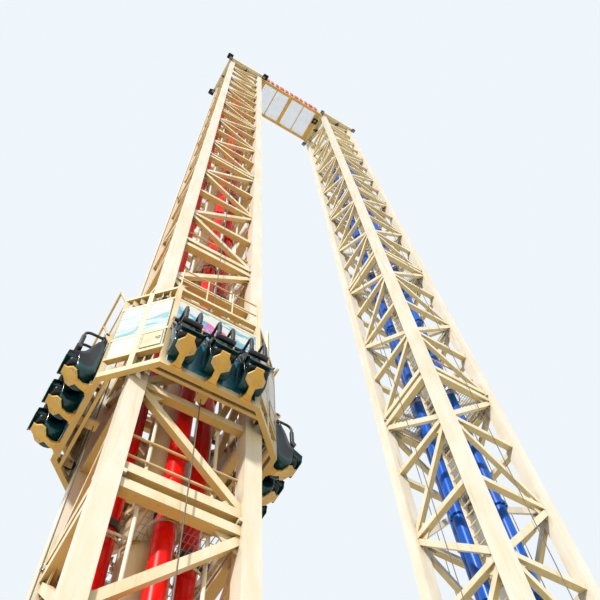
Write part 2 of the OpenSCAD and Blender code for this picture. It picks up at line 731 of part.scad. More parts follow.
// Upright or lying cushion of width w: the seat's outline above or below its seam at the pan's height
module cushion(pan, back, w, top, upper) {
    seam = seat_z + pan;
    rotate([90, 0, 90]) linear_extrude(w) intersection() {
        polygon(concat(
            seat_outer(0, top - edge_r), arc([-seat_reach + edge_r, seam - edge_r], edge_r, 180, 90, 5),
            [[-seat_r0 - back, seam]], arc([-seat_r0 - back + edge_r, top - edge_r], edge_r, 180, 90, 5),
            [[-seat_r0 - edge_r * 0.4, top]]));
        translate([-seat_reach - 10, upper ? seam + seat_gap : 0])
            square([seat_reach + 10, upper ? top - seam : seam]);
    }
}

bolster_up = 52;
bolster_out = 46;

module seat_pad() {
    for (upper = [false, true]) {
        translate([-seat_w / 2 + bolster_w + seat_gap, 0, 0])
            cushion(seat_t, seat_t, seat_w - 2 * bolster_w - 2 * seat_gap, seat_top, upper);
        for (x = [-seat_w / 2, seat_w / 2 - bolster_w])
            translate([x, 0, 0]) cushion(seat_t + bolster_up, seat_t + bolster_out, bolster_w, seat_top - 70, upper);
    }
}

module car_seats() four_sides() for (x = row_x) translate([x, -car_a, 0]) seat_pad();

// Bent bracket under each seat: a foot on the ring beam, a narrow neck and a broad paddle against the shell
bracket_t = 24;
foot_w = 110;
foot_t = 14;
neck_w = 54;
rib_t = 16;

module bracket_side(w) {
    near = polar(bow_c, bow_r + shell_t + 2 * seat_gap, under_a);
    far = polar(lip_c, edge_r + shell_t + 2 * seat_gap, under_a);
    r0 = car_t / 2 + seat_gap;
    level_z = 30;
    bend = [near[0] + (near[1] - level_z) * 1.5, level_z];
    translate([-w / 2, 0, 0]) rotate([90, 0, 90]) linear_extrude(w)
        polygon([[-r0, level_z], bend, near, far, far - [0, bracket_t * 0.7], near - [-6, bracket_t], bend - [-4, bracket_t],
                 [-r0, level_z - bracket_t]]);
}

module bracket_plan() {
    r0 = car_t / 2 + seat_gap;
    reach = -lip_c[0] + 12;
    half = paddle_w / 2;
    polygon([[-foot_w / 2, -r0], [-neck_w / 2 - 8, -r0 - 30], [-neck_w / 2, -r0 - 60], [-neck_w / 2, -reach * 0.5],
             [-half, -reach * 0.62], [-half, -reach * 0.76], [-half * 0.5, -reach * 0.9], [-half * 0.44, -reach],
             [half * 0.44, -reach], [half * 0.5, -reach * 0.9], [half, -reach * 0.76], [half, -reach * 0.62],
             [neck_w / 2, -reach * 0.5], [neck_w / 2, -r0 - 60], [neck_w / 2 + 8, -r0 - 30], [foot_w / 2, -r0]]);
}

module seat_bracket() {
    intersection() {
        bracket_side(paddle_w);
        translate([0, 0, -20]) linear_extrude(seat_z + 60) bracket_plan();
    }
    translate([-foot_w / 2, -car_t / 2 - seat_gap - foot_t, 0]) cube([foot_w, foot_t, ring_h]);
    translate([-rib_t / 2, 0, 0]) rotate([90, 0, 90]) linear_extrude(rib_t)
        polygon([[-car_t / 2 - seat_gap - 4, ring_h - 4], [-car_t / 2 - seat_gap - 80, 26], [-car_t / 2 - seat_gap - 4, 12]]);
}

module car_brackets() four_sides() for (x = row_x) translate([x, -car_a, 0]) seat_bracket();

// Moulded shell that wraps the back and underside of a seat, with cheeks at its sides
module seat_shell() {
    top = seat_top - 60;
    translate([-shell_w / 2, 0, 0]) rotate([90, 0, 90]) linear_extrude(shell_w)
        polygon(concat(seat_outer(seat_gap + shell_t, top), reversed(seat_outer(seat_gap, top))));
    for (x = [-shell_w / 2, shell_w / 2 - shell_t]) translate([x, 0, 0]) rotate([90, 0, 90]) linear_extrude(shell_t)
        polygon(concat(seat_outer(seat_gap + shell_t, top - 60), [[-seat_reach - seat_gap - shell_t, seat_z + 84]],
                       arc([-seat_r0 - 210, seat_z + 84 + 110], 110, 270, 350), [[-seat_r0 - 84, top - 90]]));
}

module car_shells() four_sides() for (x = row_x) translate([x, -car_a, 0]) seat_shell();

// One row of restraints on its shaft, drawn closed over the seats of the front row
bend_r = 60;

module restraint_bar(x) {
    translate([x, -shaft_r, shaft_z]) {
        rotate([0, 90, 0]) translate([0, 0, -17]) cylinder(d = shaft_d + 20, h = 34, $fn = 32);
        rotate([90, 0, 0]) cylinder(d = bar_d, h = bar_reach - bend_r, $fn = 24);
        translate([0, -bar_reach + bend_r, -bend_r]) rotate([90, 0, 90]) rotate([0, 0, 90])
            rotate_extrude(angle = 90, $fn = 48) translate([bend_r, 0]) circle(d = bar_d, $fn = 24);
        translate([0, -bar_reach, -bar_drop]) cylinder(d = bar_d, h = bar_drop - bend_r, $fn = 24);
    }
}

module restraint_pad(x) {
    half = bar_gap / 2 + 26;
    translate([x - half, -shaft_r - bar_reach, shaft_z - bar_drop]) rotate([0, 90, 0]) {
        cylinder(d = 54, h = 2 * half, $fn = 32);
    }
}

module restraint_row() {
    half = max(bearing_x) + 9;
    translate([-half, -car_a, 0]) translate([0, -shaft_r, shaft_z]) rotate([0, 90, 0])
        cylinder(d = shaft_d, h = 2 * half, $fn = 32);
    for (x = row_x) translate([0, -car_a, 0]) {
        for (s = [-1, 1]) restraint_bar(x + s * bar_gap / 2);
        restraint_pad(x);
    }
}

// Floodlights under the heads' corners and under the bridge
lamp_w = 110;

module floodlight() {
    translate([-8, -8, -40]) cube([16, 16, 40 - seat_gap]);
    translate([-lamp_w / 2, -lamp_w / 2, -150]) cube([lamp_w, lamp_w, 112]);
    translate([-lamp_w / 2 + 10, -lamp_w / 2 + 10, -168]) cube([lamp_w - 20, lamp_w - 20, 20]);
}

module floodlights() {
    c = half_leg + lamp_w / 2 + 6;
    color(dark) {
        for (t = [0, 1], ix = [0, 1], iy = [0, 1])
            translate([t * tower_pitch + (ix ? tower_w + c : -c), iy ? tower_w + c : -c, head_z0]) floodlight();
        translate([bridge_x0 + bridge_l - 75, mid - 260, bridge_z0]) floodlight();
    }
}

module at_tower_b() translate([tower_pitch, 0, 0]) children();
module at_gondola_a() translate([mid, mid, car_a_z]) children();
module at_gondola_b() translate([tower_pitch + mid, mid, car_b_z]) children();

legs();  // tower_a_legs
lattice(0);  // tower_a_lattice_front
lattice(1);  // tower_a_lattice_right
lattice(2);  // tower_a_lattice_back
lattice(3);  // tower_a_lattice_left
cylinders(cylinder_red);  // tower_a_cylinders
clamps(dark);  // tower_a_clamps
air_tank();  // tower_a_air_tank
platforms(true);  // tower_a_platforms
air_pipes();  // tower_a_pipes
ladder();  // tower_a_ladder
head();  // tower_a_head
sheaves();  // tower_a_sheaves
cables();  // tower_a_cables
at_tower_b() legs();  // tower_b_legs
at_tower_b() lattice(0);  // tower_b_lattice_front
at_tower_b() lattice(1);  // tower_b_lattice_right
at_tower_b() lattice(2);  // tower_b_lattice_back
at_tower_b() lattice(3);  // tower_b_lattice_left
at_tower_b() cylinders(cylinder_blue);  // tower_b_cylinders
at_tower_b() clamps(silver);  // tower_b_clamps
at_tower_b() platforms(false);  // tower_b_platforms
at_tower_b() ladder();  // tower_b_ladder
at_tower_b() head();  // tower_b_head
at_tower_b() sheaves();  // tower_b_sheaves
at_tower_b() cables();  // tower_b_cables
bridge_beams();
bridge_floor();
bridge_sign();
floodlights();
color(cream) at_gondola_a() car_frame();  // gondola_a_frame
color(white) at_gondola_a() car_panels();  // gondola_a_panels
color(dark) at_gondola_a() car_rollers();  // gondola_a_rollers
color(ochre) at_gondola_a() car_brackets();  // gondola_a_brackets
color(teal) at_gondola_a() car_shells();  // gondola_a_shells
color(dark) at_gondola_a() car_seats();  // gondola_a_seats
color(cream) at_gondola_a() restraint_row();  // restraints_a_front
color(cream) at_gondola_a() rotate([0, 0, 90]) restraint_row();  // restraints_a_right
color(cream) at_gondola_a() rotate([0, 0, 180]) restraint_row();  // restraints_a_back
color(cream) at_gondola_a() rotate([0, 0, 270]) restraint_row();  // restraints_a_left
color(cream) at_gondola_b() car_frame();  // gondola_b_frame
color(white) at_gondola_b() car_panels();  // gondola_b_panels
color(dark) at_gondola_b() car_rollers();  // gondola_b_rollers
color(ochre) at_gondola_b() car_brackets();  // gondola_b_brackets
color(teal) at_gondola_b() car_shells();  // gondola_b_shells
color(dark) at_gondola_b() car_seats();  // gondola_b_seats
color(cream) at_gondola_b() restraint_row();  // restraints_b_front
color(cream) at_gondola_b() rotate([0, 0, 90]) restraint_row();  // restraints_b_right
color(cream) at_gondola_b() rotate([0, 0, 180]) restraint_row();  // restraints_b_back
color(cream) at_gondola_b() rotate([0, 0, 270]) restraint_row();  // restraints_b_left
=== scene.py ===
# Looks of a twin drop tower ride, a 1:2 scale model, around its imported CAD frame. Metres throughout.
import bpy, math
import numpy as np
from mathutils import Matrix, Vector


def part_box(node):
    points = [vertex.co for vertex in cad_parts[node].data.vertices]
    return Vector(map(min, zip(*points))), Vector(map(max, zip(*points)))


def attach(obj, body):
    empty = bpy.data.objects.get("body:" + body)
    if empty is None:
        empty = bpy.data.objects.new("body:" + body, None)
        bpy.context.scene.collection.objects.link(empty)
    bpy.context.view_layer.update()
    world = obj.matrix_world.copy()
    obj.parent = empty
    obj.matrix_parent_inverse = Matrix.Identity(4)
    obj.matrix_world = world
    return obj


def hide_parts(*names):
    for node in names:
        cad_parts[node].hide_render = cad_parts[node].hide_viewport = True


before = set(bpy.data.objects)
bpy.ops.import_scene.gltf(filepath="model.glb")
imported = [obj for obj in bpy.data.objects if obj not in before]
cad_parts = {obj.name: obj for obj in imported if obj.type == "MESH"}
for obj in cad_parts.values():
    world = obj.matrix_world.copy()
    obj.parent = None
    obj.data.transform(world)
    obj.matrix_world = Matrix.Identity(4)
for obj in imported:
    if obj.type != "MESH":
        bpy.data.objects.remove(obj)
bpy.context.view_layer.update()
print("frame loaded:", len(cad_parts), "nodes")

# Driving sizes, as in the CAD frame
tower = {"w": 1.065, "leg": 0.152, "bay": 1.163, "base": 0.25, "bays": 24, "section": 4, "pitch": 3.79,
         "cylinderAt": 0.3195}
mid = tower["w"] / 2
half = tower["leg"] / 2
joints = list(range(tower["section"], tower["bays"], tower["section"]))
towers = {"a": 0.0, "b": tower["pitch"]}
quarters = ((0, -1), (1, 0), (0, 1), (-1, 0))


def level(n):
    return tower["base"] + n * tower["bay"]


def linked(name, data):
    thing = bpy.data.objects.new(name, data)
    bpy.context.scene.collection.objects.link(thing)
    return thing


# Camera: solved from the legs and levels in the photograph
camSet = {"lens": 44.25, "sensor": 36, "far": 400, "heading": 36.63, "elevation": 65.555, "roll": -6.587,
          "place": (-0.6367, -3.2250, 0.802)}


def makeCamera(c):
    head, up, roll = (math.radians(c[k]) for k in ("heading", "elevation", "roll"))
    ahead = np.array([math.sin(head) * math.cos(up), math.cos(head) * math.cos(up), math.sin(up)])
    right = np.array([math.cos(head), -math.sin(head), 0.0])
    over = np.cross(right, ahead)
    x = math.cos(roll) * right + math.sin(roll) * over
    y = -math.sin(roll) * right + math.cos(roll) * over
    data = bpy.data.cameras.new("camera")
    data.lens, data.sensor_width, data.clip_end = c["lens"], c["sensor"], c["far"]
    cam = linked("camera", data)
    cam.location = c["place"]
    cam.rotation_euler = Matrix(np.stack([x, y, -ahead], 1).tolist()).to_euler()
    bpy.context.scene.camera = cam


makeCamera(camSet)


# Node helpers for the world and the materials
def ramp(nt, source, stops):
    r = nt.nodes.new("ShaderNodeValToRGB")
    for i, (at, colour) in enumerate(stops):
        e = r.color_ramp.elements[i] if i < 2 else r.color_ramp.elements.new(at)
        e.position, e.color = at, (*colour, 1)
    nt.links.new(source, r.inputs["Fac"])
    return r.outputs["Color"]


def mapped(nt, source, a, b, low=0.0, high=1.0):
    span = nt.nodes.new("ShaderNodeMapRange")
    for key, value in (("From Min", a), ("From Max", b), ("To Min", low), ("To Max", high)):
        span.inputs[key].default_value = value
    nt.links.new(source, span.inputs["Value"])
    return span.outputs["Result"]


def separate(nt, vector):
    node = nt.nodes.new("ShaderNodeSeparateXYZ")
    nt.links.new(vector, node.inputs[0])
    return node.outputs


def maths(nt, operation, *sources):
    node = nt.nodes.new("ShaderNodeMath")
    node.operation = operation
    for i, source in enumerate(sources):
        nt.links.new(source, node.inputs[i])
    return node.outputs[0]


def tint(nt, base, colour, factor):
    mix = nt.nodes.new("ShaderNodeMix")
    mix.data_type = "RGBA"
    mix.inputs[7].default_value = (*colour, 1)
    nt.links.new(factor, mix.inputs[0])
    nt.links.new(base, mix.inputs[6])
    return mix.outputs[2]


def noiseOn(nt, source, scale, stretch, detail, turn=0.0, distortion=0.0):
    place = nt.nodes.new("ShaderNodeMapping")
    place.inputs["Rotation"].default_value = (0, 0, math.radians(turn))
    place.inputs["Scale"].default_value = stretch
    noise = nt.nodes.new("ShaderNodeTexNoise")
    for key, value in (("Scale", scale), ("Detail", detail), ("Distortion", distortion)):
        noise.inputs[key].default_value = value
    nt.links.new(source, place.inputs["Vector"])
    nt.links.new(place.outputs["Vector"], noise.inputs["Vector"])
    return noise.outputs["Fac"]


def objectNoise(nt, scale, stretch=(1, 1, 1), detail=5.0):
    return noiseOn(nt, nt.nodes.new("ShaderNodeTexCoord").outputs["Object"], scale, stretch, detail)


def printMap(nt):
    uv = nt.nodes.new("ShaderNodeUVMap")
    uv.uv_map = "print"
    return uv.outputs["UV"]


def seenRays(nt):
    # 1 for camera, glossy and transmission rays, 0 for those that light
    path = nt.nodes.new("ShaderNodeLightPath")
    seen = maths(nt, "MAXIMUM", path.outputs["Is Camera Ray"], path.outputs["Is Glossy Ray"])
    return maths(nt, "MAXIMUM", seen, path.outputs["Is Transmission Ray"])


# Light: one soft sun, and a world that is warm and dim below and pale above; stops are (place, colour)
lightSet = {"sun": 3.8, "sunColour": (1.0, 0.965, 0.90), "sunFrom": (-0.62, -0.55, 0.62), "sunAngle": 4,
            "below": (0.30, (0.36, 0.26, 0.11)), "level": (0.50, (0.33, 0.32, 0.29)),
            "above": (0.75, (0.38, 0.44, 0.54)), "sky": (0.86, 0.92, 0.97)}


def makeLight(c):
    sun = bpy.data.lights.new("sun", "SUN")
    sun.energy, sun.angle, sun.color = c["sun"], math.radians(c["sunAngle"]), c["sunColour"]
    lamp = linked("sun", sun)
    lamp.rotation_mode = "QUATERNION"
    lamp.rotation_quaternion = Vector(c["sunFrom"]).to_track_quat("Z", "Y")
    world = bpy.data.worlds.new("world")
    bpy.context.scene.world = world
    world.use_nodes = True
    nt = world.node_tree
    nt.nodes.clear()
    height = separate(nt, nt.nodes.new("ShaderNodeTexCoord").outputs["Generated"])["Z"]
    fill = ramp(nt, mapped(nt, height, -1, 1), [c["below"], c["above"], c["level"]])
    lit, seen = nt.nodes.new("ShaderNodeBackground"), nt.nodes.new("ShaderNodeBackground")
    nt.links.new(fill, lit.inputs["Color"])
    seen.inputs["Color"].default_value = (*c["sky"], 1)
    mix = nt.nodes.new("ShaderNodeMixShader")
    out = nt.nodes.new("ShaderNodeOutputWorld")
    nt.links.new(seenRays(nt), mix.inputs[0])
    nt.links.new(lit.outputs[0], mix.inputs[1])
    nt.links.new(seen.outputs[0], mix.inputs[2])
    nt.links.new(mix.outputs[0], out.inputs[0])


makeLight(lightSet)
bpy.context.scene.view_settings.view_transform = "Standard"

# Paints: gloss on steel with long streaks of grime, painted shade on the undersides, drips, painted shade in
# corners and orange peel
paintSet = {"streaks": 7.0, "clean": -0.20, "grimy": 0.22, "under": (-0.1, -0.75, 0.0, 0.92),
            "drips": 26.0, "dripLong": 0.045, "drip": (0.60, 0.84, 0.0, 0.58),
            "dripColour": (0.36, 0.27, 0.15), "cornerReach": 0.12, "corner": (0.80, 0.22, 0.0, 0.75),
            "gloss": -0.08, "matt": 0.16, "peel": 160.0, "peelDeep": 0.002}


def newMaterial(name, colour, roughness):
    m = bpy.data.materials.new(name)
    m.use_nodes = True
    b = m.node_tree.nodes["Principled BSDF"]
    b.inputs["Base Color"].default_value = (*colour, 1)
    b.inputs["Roughness"].default_value = roughness
    return m, m.node_tree, b


def paint(name, colour, grime, roughness=0.34, spread=0.55, streak=0.22, bumpy=0.12, under=None, cornerShade=None):
    c = paintSet
    m, nt, b = newMaterial(name, colour, roughness)
    streaks = objectNoise(nt, c["streaks"], (1, 1, streak), 7.0)
    tone = ramp(nt, streaks, [(spread + c["clean"], colour), (spread + c["grimy"], grime)])
    if under:
        # faces that look down are tinted warmer and darker: painted shade on the undersides
        facing = separate(nt, nt.nodes.new("ShaderNodeNewGeometry").outputs["Normal"])["Z"]
        tone = tint(nt, tone, under, mapped(nt, facing, *c["under"]))
        drips = objectNoise(nt, c["drips"], (1, 1, c["dripLong"]))
        tone = tint(nt, tone, c["dripColour"], mapped(nt, drips, *c["drip"]))
    if cornerShade:
        # ambient occlusion darkens and browns the paint near corners and where parts meet: painted shade
        corner = nt.nodes.new("ShaderNodeAmbientOcclusion")
        corner.samples, corner.only_local = 3, False
        corner.inputs["Distance"].default_value = c["cornerReach"]
        tone = tint(nt, tone, cornerShade, mapped(nt, corner.outputs["AO"], *c["corner"]))
    nt.links.new(tone, b.inputs["Base Color"])
    rough = mapped(nt, streaks, 0.0, 1.0, roughness + c["gloss"], roughness + c["matt"])
    nt.links.new(rough, b.inputs["Roughness"])
    bump = nt.nodes.new("ShaderNodeBump")
    bump.inputs["Strength"].default_value = bumpy
    bump.inputs["Distance"].default_value = c["peelDeep"]
    nt.links.new(objectNoise(nt, c["peel"], detail=2.0), bump.inputs["Height"])
    nt.links.new(bump.outputs["Normal"], b.inputs["Normal"])
    return m


# colour of the painted shade in corners
cornerShadeBrown = (0.17, 0.10, 0.03)
# colours of the painted shade on undersides
undersideShadeYellow = (0.68, 0.44, 0.12)
undersideShadeLemon = (0.84, 0.68, 0.32)
plastic = ((0.0015, 0.045, 0.058), (0.004, 0.085, 0.105), 0.16, 0.6, 1.0, 0.05)
colours = {
    # one cream paint in two copies: a shaded one with darker undersides, painted shade on tower A's lattice
    # and the floor bands, and a lit one for tower B's lattice
    "cream": paint("creamPaintShaded", (0.95, 0.87, 0.65), (0.84, 0.67, 0.38), under=undersideShadeYellow, cornerShade=cornerShadeBrown),
    "creamLit": paint("creamPaintLit", (0.95, 0.89, 0.70), (0.86, 0.74, 0.48), under=undersideShadeLemon, cornerShade=cornerShadeBrown),
    "ivory": paint("ivoryPaint", (0.95, 0.91, 0.80), (0.86, 0.75, 0.53), under=undersideShadeLemon, cornerShade=cornerShadeBrown),
    "fascia": paint("fasciaPaint", (0.95, 0.92, 0.82), (0.84, 0.78, 0.62), under=(0.95, 0.86, 0.64)),
    "frame": paint("framePaint", (0.94, 0.85, 0.62), (0.80, 0.60, 0.30), under=undersideShadeYellow, cornerShade=cornerShadeBrown),
    "ochre": paint("ochrePaint", (0.90, 0.58, 0.14), (0.66, 0.38, 0.06), cornerShade=cornerShadeBrown),
    "red": paint("redPaint", (1.0, 0.005, 0.003), (0.62, 0.006, 0.004), 0.24),
    "blue": paint("bluePaint", (0.003, 0.12, 0.66), (0.003, 0.07, 0.38), 0.24),
    "tank": paint("tankPaint", (1.0, 0.92, 0.62), (0.74, 0.57, 0.30), 0.24, 0.52, 0.12, cornerShade=cornerShadeBrown),
    "dark": paint("darkPaint", (0.022, 0.022, 0.024), (0.06, 0.045, 0.03), 0.4),
    "wire": paint("wireRope", (0.17, 0.14, 0.11), (0.07, 0.055, 0.04), 0.45),
    "white": paint("whitePaint", (0.78, 0.82, 0.80), (0.60, 0.63, 0.55), 0.22, 0.60, 0.6, cornerShade=cornerShadeBrown),
    "hatch": paint("hatchPaint", (0.84, 0.82, 0.64), (0.62, 0.52, 0.30), 0.3, 0.55, 0.6, cornerShade=cornerShadeBrown),
    "teal": paint("tealPlastic", *plastic),
    "black": paint("blackVinyl", (0.006, 0.008, 0.010), (0.018, 0.021, 0.023), 0.36, 0.6, 1.0, 0.4),
    "silver": paint("zincPlate", (0.50, 0.53, 0.55), (0.28, 0.29, 0.30), 0.32),
}
colours["silver"].node_tree.nodes["Principled BSDF"].inputs["Metallic"].default_value = 0.9
for gloss in ("red", "blue"):
    colours[gloss].node_tree.nodes["Principled BSDF"].inputs["Specular IOR Level"].default_value = 0.24

# The first words found in a CAD node's name pick its paint
nodeLooks = [("tower_b_lattice", "creamLit"), ("tower_a_lattice", "cream"), ("legs", "ivory"),
             ("tower_a_cylinders", "red"), ("tower_b_cylinders", "blue"), ("tower_a_clamps", "dark"),
             ("tower_b_clamps", "silver"), ("tank", "tank"), ("platforms", "cream"), ("pipes", "ivory"),
             ("ladder", "ivory"), ("head", "fascia"), ("sheaves", "dark"), ("cables", "wire"),
             ("bridge_beams", "ochre"), ("bridge_floor", "silver"), ("bridge_sign", "white"),
             ("floodlights", "dark"), ("_frame", "frame"), ("_panels", "white"), ("_rollers", "black"),
             ("_brackets", "ochre"), ("_shells", "teal"), ("_seats", "black"), ("restraints", "dark")]
for name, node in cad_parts.items():
    look = next(c for part, c in nodeLooks if part in name)
    node.data.materials.clear()
    node.data.materials.append(colours[look])
print("materials set")


# Mesh helpers: whole arrays of points, one mesh a piece
def addPiece(name, verts, faces, look, body, smooth=False, uv=None):
    mesh = bpy.data.meshes.new(name)
    faces = faces.tolist() if isinstance(faces, np.ndarray) else faces
    mesh.from_pydata(np.asarray(verts).tolist(), [], faces)
    mesh.materials.append(colours[look] if isinstance(look, str) else look)
    if smooth:
        mesh.polygons.foreach_set("use_smooth", np.ones(len(mesh.polygons), bool))
    if uv is not None:
        layer = mesh.uv_layers.new(name="print")
        loopVerts = np.zeros(len(mesh.loops), np.int32)
        mesh.loops.foreach_get("vertex_index", loopVerts)
        layer.data.foreach_set("uv", np.asarray(uv, np.float32)[loopVerts].ravel())
    mesh.update()
    piece = linked(name, mesh)
    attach(piece, body)
    return piece


cubeCorners = np.array([(x, y, z) for z in (-1, 1) for y in (-1, 1) for x in (-1, 1)], float)
cubeFaces = np.array([(0, 2, 3, 1), (4, 5, 7, 6), (0, 1, 5, 4), (2, 6, 7, 3), (0, 4, 6, 2), (1, 3, 7, 5)])


def boxes(centres, sizes, turns=None):
    # corners = centre + turn times half size times the unit cube's corners
    centres, sizes = np.atleast_2d(centres), np.broadcast_to(sizes, np.atleast_2d(centres).shape)
    local = cubeCorners[None] * (sizes[:, None] / 2)
    if turns is not None:
        local = np.einsum("nij,nkj->nki", turns, local)
    verts = (centres[:, None] + local).reshape(-1, 3)
    faces = (cubeFaces[None] + 8 * np.arange(len(centres))[:, None, None]).reshape(-1, 4)
    return verts, faces


def joined(*shapes):
    # one array of points and one list of faces from several
    start, verts, faces = 0, [], []
    for v, f in shapes:
        verts.append(np.asarray(v, float))
        faces.extend([tuple(int(i) + start for i in q) for q in f])
        start += len(v)
    return np.concatenate(verts), faces


def copied(faces, count, points):
    # the same faces for each copy of the points
    return [tuple(int(i) + k * points for i in q) for k in range(count) for q in faces]


def basis(axis):
    # two unit vectors square to the axis, and the axis at unit length
    a = np.asarray(axis, float) / np.linalg.norm(axis)
    side = np.array([0, 0, 1.0]) if abs(a[2]) < 0.9 else np.array([1.0, 0, 0])
    u = np.cross(side, a)
    u /= np.linalg.norm(u)
    return u, np.cross(a, u), a


def prisms(centres, axis, radius, height, sides=6):
    # regular prisms along the axis: a ring round each centre plus the same ring moved by the height
    centres = np.atleast_2d(centres)
    u, v, a = basis(axis)
    angle = 2 * np.pi * np.arange(sides) / sides
    ringPoints = radius * (np.cos(angle)[:, None] * u + np.sin(angle)[:, None] * v)
    low = centres[:, None] + ringPoints[None]
    verts = np.concatenate([low, low + a * height], axis=1).reshape(-1, 3)
    k = np.arange(sides)
    wall = np.stack([k, (k + 1) % sides, sides + (k + 1) % sides, sides + k], 1)
    base = 2 * sides * np.arange(len(centres))
    faces = [tuple(int(i + b) for i in q) for b in base for q in wall]
    faces += [tuple(int(b + sides + i) for i in k) for b in base]
    faces += [tuple(int(b + i) for i in k[::-1]) for b in base]
    return verts, faces


def gridFaces(rows, cols, wrap=False, caps=False):
    # quads between neighbouring rows of points; wrap closes each row, caps closes the first and last
    r, c = np.meshgrid(np.arange(rows - 1), np.arange(cols if wrap else cols - 1), indexing="ij")
    r, c = r.ravel(), c.ravel()
    n = (c + 1) % cols
    quads = np.stack([r * cols + c, r * cols + n, (r + 1) * cols + n, (r + 1) * cols + c], 1)
    faces = [tuple(int(i) for i in q) for q in quads]
    if caps:
        faces += [tuple(range(cols))[::-1], tuple((rows - 1) * cols + i for i in range(cols))]
    return faces


def sweep(points, radius, sides=8):
    # a round tube along a polyline: rings square to the mean direction at each point
    p = np.asarray(points, float)
    d = np.gradient(p, axis=0)
    d /= np.linalg.norm(d, axis=1)[:, None]
    u = np.cross([0, 0, 1.0] if abs(d[0, 2]) < 0.9 else [1.0, 0, 0], d)
    u /= np.linalg.norm(u, axis=1)[:, None]
    v = np.cross(d, u)
    angle = (2 * np.pi * np.arange(sides) / sides)[None, :, None]
    rings = p[:, None] + radius * (np.cos(angle) * u[:, None] + np.sin(angle) * v[:, None])
    return rings.reshape(-1, 3), gridFaces(len(p), sides, wrap=True, caps=True)


def turnZ(points, quarter, about):
    # quarter turns about a vertical line; a half of one leads to a corner side
    a = math.pi / 2 * quarter
    c, s = math.cos(a), math.sin(a)
    p = np.asarray(points, float) - [about[0], about[1], 0]
    return np.stack([p[:, 0] * c - p[:, 1] * s + about[0], p[:, 0] * s + p[:, 1] * c + about[1], p[:, 2]], 1)


# Bolts on the joint flanges and the base plates; washer, nut and stud are each (radius, height)
flangeSet = {"out": 0.026, "t": 0.018, "along": (-0.055, -0.018, 0.018, 0.055), "head": 0.010, "high": 0.009}
anchorSet = {"plate": 0.03, "pitch": 0.29, "washer": (0.028, 0.005), "nut": (0.021, 0.020),
             "stud": (0.012, 0.030)}


def flangeBolts(c):
    # heads above and below each flange, along the two outer sides of each leg and on their corner
    out = half + c["out"] / 2
    spots = [(out, t) for t in c["along"]] + [(t, out) for t in c["along"]] + [(out, out)]
    tops, bottoms = [], []
    for ix, iy in ((0, 0), (0, 1), (1, 0), (1, 1)):
        for x, y in spots:
            at = (ix * tower["w"] + (1 - 2 * ix) * x, iy * tower["w"] + (1 - 2 * iy) * y)
            tops += [(*at, level(n) + c["t"]) for n in joints]
            bottoms += [(*at, level(n) - c["t"]) for n in joints]
    return joined(prisms(tops, (0, 0, 1), c["head"], c["high"]),
                  prisms(bottoms, (0, 0, -1), c["head"], c["high"]))


def anchorBolts(c):
    # a washer, a nut and a stud, stacked at the four corners of each base plate
    s = c["pitch"] / 2
    spots = np.array([(ix * tower["w"] + dx, iy * tower["w"] + dy, c["plate"]) for ix in (0, 1)
                      for iy in (0, 1) for dx in (-s, s) for dy in (-s, s)])
    nutAt = c["washer"][1]
    studAt = nutAt + c["nut"][1]
    return joined(prisms(spots, (0, 0, 1), *c["washer"], 16),
                  prisms(spots + [0, 0, nutAt], (0, 0, 1), *c["nut"]),
                  prisms(spots + [0, 0, studAt], (0, 0, 1), *c["stud"], 12))


# Bolts on the gusset plates, further apart at the section joints, where a floor lies
gussetSet = {"t": 0.014, "in": (0.035, 0.075), "up": 0.105, "jointUp": 0.184, "head": 0.008, "high": 0.007}


def gussetBolts(c, quarter):
    # pairs of bolts on both faces of each gusset plate, at the leg where the bars of that level meet
    spots = []
    lead = 0 if quarter in (0, 3) else 1
    for n in range(tower["bays"] + 1):
        x0, d = (half, 1) if (n + lead) % 2 == 1 else (tower["w"] - half, -1)
        for x in c["in"]:
            for up in (-1, 1):
                z = level(n) + up * (c["jointUp"] if n in joints else c["up"])
                if 0 < n + (up > 0) <= tower["bays"] and z > level(0):
                    spots.append((x0 + d * x, 0, z))
    spots = np.array(spots)
    v, f = joined(prisms(spots + [0, c["t"] / 2, 0], (0, 1, 0), c["head"], c["high"]),
                  prisms(spots - [0, c["t"] / 2, 0], (0, -1, 0), c["head"], c["high"]))
    if quarter in (1, 3):
        v = turnZ(v, 1, (0, 0))
    return v + [tower["w"] * (quarter == 1), tower["w"] * (quarter == 2), 0], f


for t, x in towers.items():
    gussets = [gussetBolts(gussetSet, q) for q in range(4)]
    v, f = joined(flangeBolts(flangeSet), anchorBolts(anchorSet), *gussets)
    addPiece(f"tower{t.upper()}Bolts", v + [x, 0, 0], f, "silver", "tower")
print("bolts made")

# Open mesh of platforms and bridge: low flat bars and thin cross rods inside a stout edge
gratingSet = {"pitch": 0.036, "bar": 0.004, "rodPitch": 0.072, "rod": 0.004, "edge": 0.008, "high": 0.009,
              "shortest": 0.01}
bridgeMesh = {**gratingSet, "pitch": 0.024, "bar": 0.0055, "rodPitch": 0.048, "rod": 0.005, "in": 0.005}


def rectangle(x0, x1, y0, y1):
    return [(x0, y0), (x1, y0), (x1, y1), (x0, y1)]


def clearRuns(at, lo, hi, rounds, blocks, shortest):
    # what holes (x, y, r) and blocks (x0, x1, y0, y1) leave of a line from lo to hi at the offset at
    cuts = [(cy - math.sqrt(r * r - (at - cx) ** 2), cy + math.sqrt(r * r - (at - cx) ** 2))
            for cx, cy, r in rounds if abs(at - cx) < r]
    cuts += [(y0, y1) for x0, x1, y0, y1 in blocks if x0 <= at <= x1]
    runs, start = [], lo
    for a, b in sorted(cuts):
        if a > start:
            runs.append((start, min(a, hi)))
        start = max(start, b)
    if start < hi:
        runs.append((start, hi))
    return [r for r in runs if r[1] - r[0] > shortest]


